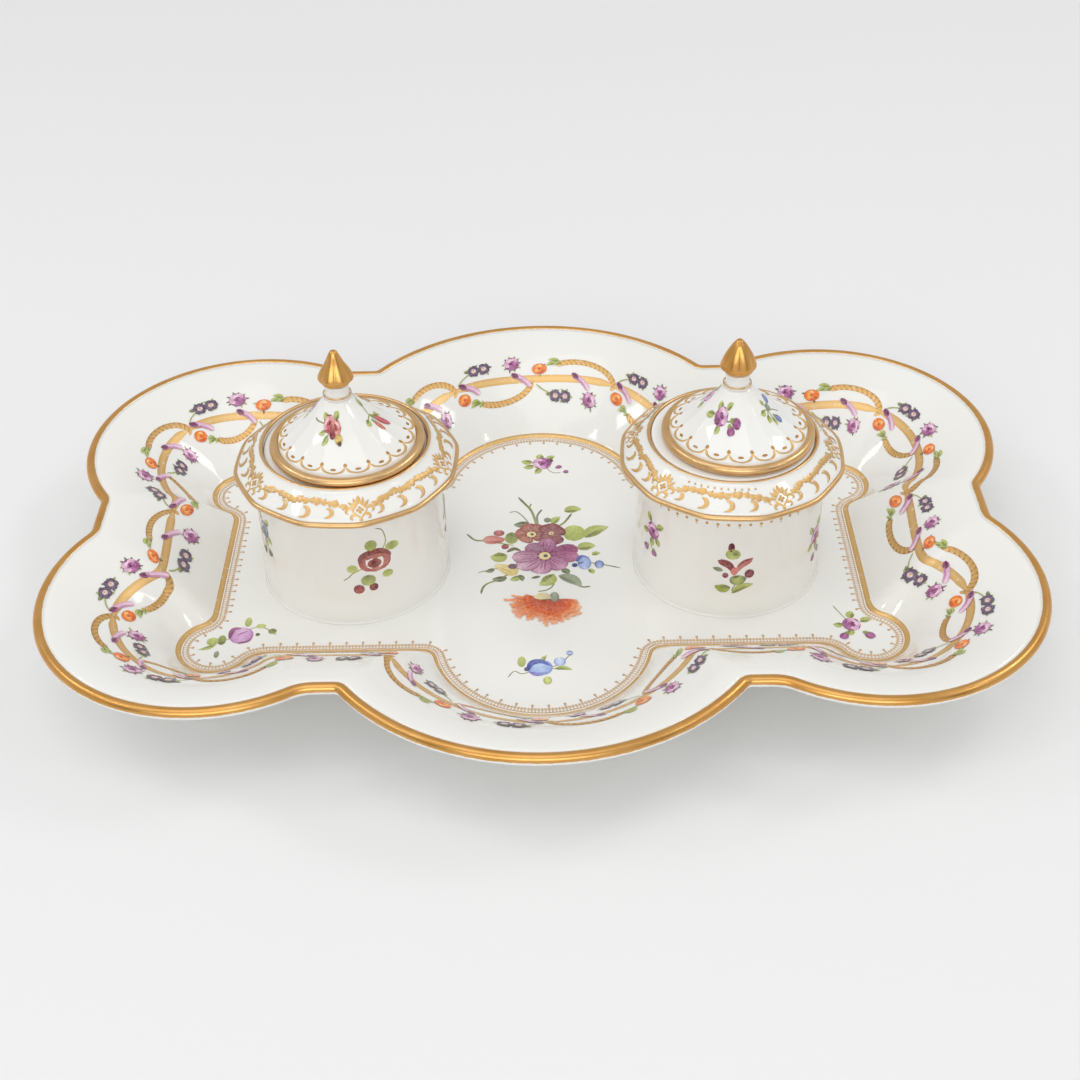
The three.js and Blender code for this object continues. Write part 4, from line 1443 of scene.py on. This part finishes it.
def turned(name, axis, profile, body, finish, stands_for):
    """A round piece about a vertical axis, from a profile of radius and height."""
    rings = [round_ring(axis, max(radius, 0.02), height) for radius, height in profile]
    loft(name, rings, body, finish, stands_for, capped=True)


def corner(across, up, radius, start, end):
    return rounded((across, up), radius, radius, start, end, 5)


for side, axis in wells.items():
    bottom = floor_top + flange_under - liner_depth
    hollow = bottom + liner_floor
    flange_bottom = floor_top + flange_under
    flange_top = flange_bottom + flange_thickness[side]
    profile = [
        (0, bottom),
        *corner(liner_radius - liner_corner, bottom + liner_corner, liner_corner, -90, 0),
        (liner_radius, flange_bottom - flange_chamfer), (liner_radius, flange_bottom),
        (flange_radius - flange_chamfer, flange_bottom),
        (flange_radius, flange_bottom + flange_chamfer),
        *corner(flange_radius - flange_corner, flange_top - flange_corner, flange_corner, 0, 90),
        *corner(liner_bore + flange_corner, flange_top - flange_corner, flange_corner, 90, 180),
        (liner_bore, flange_top - 2.0), (liner_bore, hollow + liner_corner + 0.5),
        *corner(liner_bore - liner_corner, hollow + liner_corner, liner_corner, 0, -90),
        (0, hollow),
    ]
    turned(
        f"{side}_liner", axis, profile, f"{side}_liner", porcelain,
        [f"{side}_liner_pot"],
    )

# Each lid is moulded like a small tent, with sixteen shallow flutes that run up to the neck.
# The lids are a little askew: each stands off its well's axis, and each neck leans off its lid's.
flute_count = 16
flute_steps = 14
flute_start = {"left": math.radians(-85.9), "right": math.radians(-81.8)}
flute_depth = 0.35
flute_radius = 20.9
lid_edge_radius = 1.4
lid_edge_seat = 0.7
lid_edge_middle = 21.9
lid_seat_radius = lid_edge_middle - lid_edge_seat
lid_seat_half_height = math.sqrt(lid_edge_radius ** 2 - lid_edge_seat ** 2)
lid_thickness = 2.6
lid_rise = 17.3
lid_shoulder = 3.7
shoulder_rounding = [(0.1, 0.25), (0.02, 0.08)]
lid_flare = 1.5
lid_axis = {"left": wells["left"] + 0.9 - 1.2j, "right": wells["right"] + 1.4 - 0.9j}
neck_shift = {"left": -1.8 + 1.2j, "right": -1.0 + 0.9j}
neck_foot_radius = 4.3
neck_radius = 4.0
locating_radius = 17.8
locating_bore = 15.6
locating_height = 3.0
rest_gap = 0.3


def lid_base(side):
    return floor_top + flange_under + flange_thickness[side] + rest_gap


def lid_place(side, plan):
    """Points on a lid's top from points seen from above, about the lid's axis."""
    distance = abs(plan)
    share = np.clip((flute_radius - distance) / (flute_radius - neck_foot_radius), 0, 1)
    shift = neck_shift[side] * share
    across = (np.angle(plan) - flute_start[side]) % (2 * math.pi / flute_count)
    across = across * flute_count / (2 * math.pi)
    sunk = flute_depth * np.sin(math.pi * np.sqrt(share)) * 4 * across * (1 - across)
    height = lid_shoulder + (lid_rise - lid_shoulder) * share ** lid_flare - sunk
    return at_height(lid_axis[side] + plan + shift, lid_base(side) + height)


def lid_turns(side):
    steps = flute_count * flute_steps
    return flute_start[side] + np.arange(steps) / steps * 2 * math.pi


def lid_ring(side, radius):
    return lid_place(side, radius * np.exp(1j * lid_turns(side)))


def plain_lid_ring(side, radius, height):
    plan = lid_axis[side] + radius * np.exp(1j * lid_turns(side))
    return at_height(plan, lid_base(side) + height)


for side in wells:
    plain = [
        (neck_radius, lid_rise - 2 * lid_thickness), (locating_bore, lid_thickness),
        (locating_bore, 0.0), (lid_seat_radius, 0.0),
        (lid_seat_radius, lid_edge_radius - lid_seat_half_height),
        (lid_seat_radius, lid_edge_radius + lid_seat_half_height),
        *[(flute_radius + out, lid_shoulder - down) for out, down in shoulder_rounding],
    ]
    rings = [plain_lid_ring(side, *row) for row in plain]
    for share in np.linspace(0, 1, 26) ** 1.2:
        rings.append(lid_ring(side, flute_radius - (flute_radius - neck_foot_radius) * share))
    loft(
        f"{side}_lid_tent", rings, f"{side}_lid", porcelain, [f"{side}_lid"],
        capped=True,
    )

# A roll in the clay goes round each lid and is gilded all over. A low porcelain ring, luted on
# under the lid, keeps it in the liner's mouth.
roll_middle = {"left": 22.4, "right": 22.0}
roll_size = 1.5
ring_chamfer = 0.4
for side in wells:
    roll = rounded((roll_middle[side], roll_size), roll_size, roll_size, -140, 140, 22)
    loft(
        f"{side}_lid_roll", [plain_lid_ring(side, *row) for row in roll], f"{side}_lid",
        soft_gold, [f"{side}_lid_gilt_edge"], bare=np.zeros(len(roll)),
    )
    base = lid_base(side)
    profile = [
        (locating_bore, base), (locating_bore, base - locating_height + ring_chamfer),
        (locating_bore + ring_chamfer, base - locating_height),
        (locating_radius - ring_chamfer, base - locating_height),
        (locating_radius, base - locating_height + ring_chamfer), (locating_radius, base),
    ]
    loft(
        f"{side}_lid_ring", [round_ring(lid_axis[side], *row) for row in profile], f"{side}_lid",
        porcelain, [f"{side}_lid_locating_ring"],
    )

# The neck is a short waist of glazed white porcelain between the lid and the bud, luted to
# both with slip.
neck_height = {"left": 4.6, "right": 4.8}
for side in wells:
    foot = lid_base(side) + lid_rise
    waist = sweep((neck_foot_radius, foot), (neck_radius, foot + neck_height[side]), 0.12, 8)
    profile = [(0, foot), *waist, (0, foot + neck_height[side])]
    turned(
        f"{side}_neck", lid_axis[side] + neck_shift[side], profile, f"{side}_lid", porcelain,
        [f"{side}_lid_neck"],
    )


# Each lid has a gold line in sixteen scallops, one to a flute, with a dot at each cusp and a
# dash in each hollow. Four enamel sprigs stand above it, and a gold ring marks the neck's foot.
def on_lid(side):
    return lambda flat: lid_place(side, flat)


plum = ("#A8508E", "#6E1F58")
lid_sprigs = {
    "left": [
        sprig(
            -1.5 - 8.9j,
            [
                *rose(-2.6 - 8.1j, 3.9, *rose_inks["pink"], 120),
                *rose(-0.9 - 9.1j, 3.7, *rose_inks["salmon"], 30),
                dot(-1.9 - 10.5j, 1.9, "#8A2438"), dot(-0.1 - 11.6j, 2.4, yellow, rim="#A98C3C"),
                dot(0.1 - 12.5j, 1.3, "#5A3A28"),
            ],
            [(-3.9 - 5.1j, 1.7), (0.6 - 5.9j, 1.7), (-5.6 - 12.1j, 1.6), (-6.2 - 9.1j, 1.2)],
            [[-5.6 - 6.5j, -7 - 4.5j]],
        ),
        sprig(
            8.8 - 2.4j,
            [
                *bud(9 - 2.2j, 14.2 + 0.4j, 1.9, "#D9737A", "#9B2E3C"),
                *bud(9.6 - 3.4j, 13.2 - 3.6j, 1.5, "#E58F70", "#B04A3C"),
            ],
            [(5.4 + 0.6j, 1.5), (8.4 - 6.2j, 1.6), (11.4 + 1.2j, 1.3)], [[6.4 - 0.4j, 4 + 1.6j]],
        ),
    ],
    "right": [
        sprig(
            -5.4 - 8j,
            [
                *rose(-5.6 - 7.9j, 4.4, *rose_inks["mauve"], 20),
                dot(-6.9 - 8.5j, 1.6, mauve_dark), *bud(-2.6 - 9.7j, -0.2 - 11.1j, 2.2, *plum),
                *bud(-3.4 - 10.7j, -3 - 13.1j, 2.0, *plum),
            ],
            [(-5 - 4.3j, 1.8), (-9.6 - 4.1j, 1.8), (-8.2 - 11.3j, 1.7), (-1.6 - 6.3j, 1.4)],
            [[-4 - 9.5j, -1 - 10.1j]],
        ),
        sprig(
            8.6 - 4.2j,
            [
                *bud(8.6 - 2.4j, 8.2 + 1.6j, 1.6, blue, blue_dark, False),
                *bud(10.6 - 4.6j, 13 - 4.6j, 1.8, "#8FA3C8", blue_dark),
                dot(8.8 - 3.4j, 1.8, green_grey, rim=green_dark),
            ],
            [(6.4 - 3.2j, 1.4), (8.8 - 8.2j, 1.6), (6.4 - 7.2j, 1.4), (11.4 - 7.4j, 1.4)],
            [[10.8 - 2.4j, 12.2 - 1j]],
        ),
    ],
}
scallop_foot = {"left": 18.6, "right": 18.1}
scallop_top = 20.7
neck_ring_size = 0.25
for side in wells:
    foot, depth = scallop_foot[side], scallop_top - scallop_foot[side]
    scallops = []
    for index in range(flute_count):
        start = flute_start[side] + index * 2 * math.pi / flute_count
        turns = start + np.linspace(0, 1, 9) * 2 * math.pi / flute_count
        out = foot + depth * np.sin(np.linspace(0, math.pi, 9)) ** 0.55
        cusp, middle = np.exp(1j * turns[[0, 4]])
        dash = foot + depth * 0.3 + np.array([-0.95j, 0.95j])
        scallops.append([
            touch(out * np.exp(1j * turns), 0.8, gilt, rim=gilt_deep, shape="even", steps=3),
            dot((foot - 0.5) * cusp, 1.15, gilt_brown),
            touch(dash * middle, 0.85, gilt_brown, shape="round", steps=3),
        ])
    paint(
        f"{side}_lid_scallops", scallops, on_lid(side), f"{side}_lid", painted_gold,
        dome=0.05,
    )
    for turned_by, inks in ((150, rose_inks["pink"]), (255, rose_inks["mauve"])):
        way = way_at(turned_by - 90)
        lid_sprigs[side].append(sprig(
            8.5 * way, rose(8.5 * way, 4.0, *inks, turn=turned_by),
            [((8.5 + tip) * way, 1.6) for tip in (-4 + 1j, 3.6 + 2j, 3 - 2.6j, -2 - 3j)],
        ))
    paint(
        f"{side}_lid_flowers", lid_sprigs[side], on_lid(side), f"{side}_lid", enamel,
        0.03, enamel_dome,
    )
    middle = (neck_foot_radius - 0.16, lid_base(side) + lid_rise + 1.0)
    neck_line = rounded(middle, neck_ring_size, neck_ring_size, -100, 100, 8)
    rings = [round_ring(lid_axis[side] + neck_shift[side], *row) for row in neck_line]
    loft(f"{side}_neck_gold", rings, f"{side}_lid", soft_gold, bare=[0] * 9)

# A flower bud, pressed in porcelain and gilded all over, is the lid's grip. Its petals leave
# six grooves that run up to the tip.
bud_radius = 5.45
bud_lobes = 6
bud_groove = 0.11
bud_front_groove = {"left": math.radians(-86), "right": math.radians(-90)}
bud_height = {"left": 11.2, "right": 11.0}
bud_tip = 0.95
bud_profile = {
    "left": [(0, 0.72), (0.16, 1), (0.38, 0.84), (0.62, 0.55), (0.84, 0.34), (bud_tip, 0.22)],
    "right": [(0, 0.72), (0.16, 1), (0.38, 0.9), (0.62, 0.68), (0.84, 0.4), (bud_tip, 0.22)],
}
for side in wells:
    foot = lid_base(side) + lid_rise + neck_height[side]
    axis = lid_axis[side] + neck_shift[side]
    turn = np.arange(round_steps) / round_steps * 2 * math.pi
    petal = np.abs(np.sin((turn - bud_front_groove[side]) * bud_lobes / 2)) ** 0.8
    rings = []
    for point in curve_through([complex(up, width) for up, width in bud_profile[side]], 5):
        up, width = point.real, point.imag
        depth = bud_groove * math.sin(math.pi * min(1.0, 0.15 + up)) ** 0.5
        radius = bud_radius * width * (1 - depth * (1 - petal))
        rings.append(at_height(axis + radius * np.exp(1j * turn), foot + up * bud_height[side]))
    for share in (0.8, 0.45, 0.1):
        radius = bud_radius * bud_profile[side][-1][1] * share
        up = bud_tip + (1 - bud_tip) * math.sqrt(1 - share ** 2)
        rings.append(at_height(axis + radius * np.exp(1j * turn), foot + up * bud_height[side]))
    loft(
        f"{side}_bud", rings, f"{side}_lid", gold, [f"{side}_lid_bud"],
        capped=True, bare=np.zeros(len(rings)),
    )
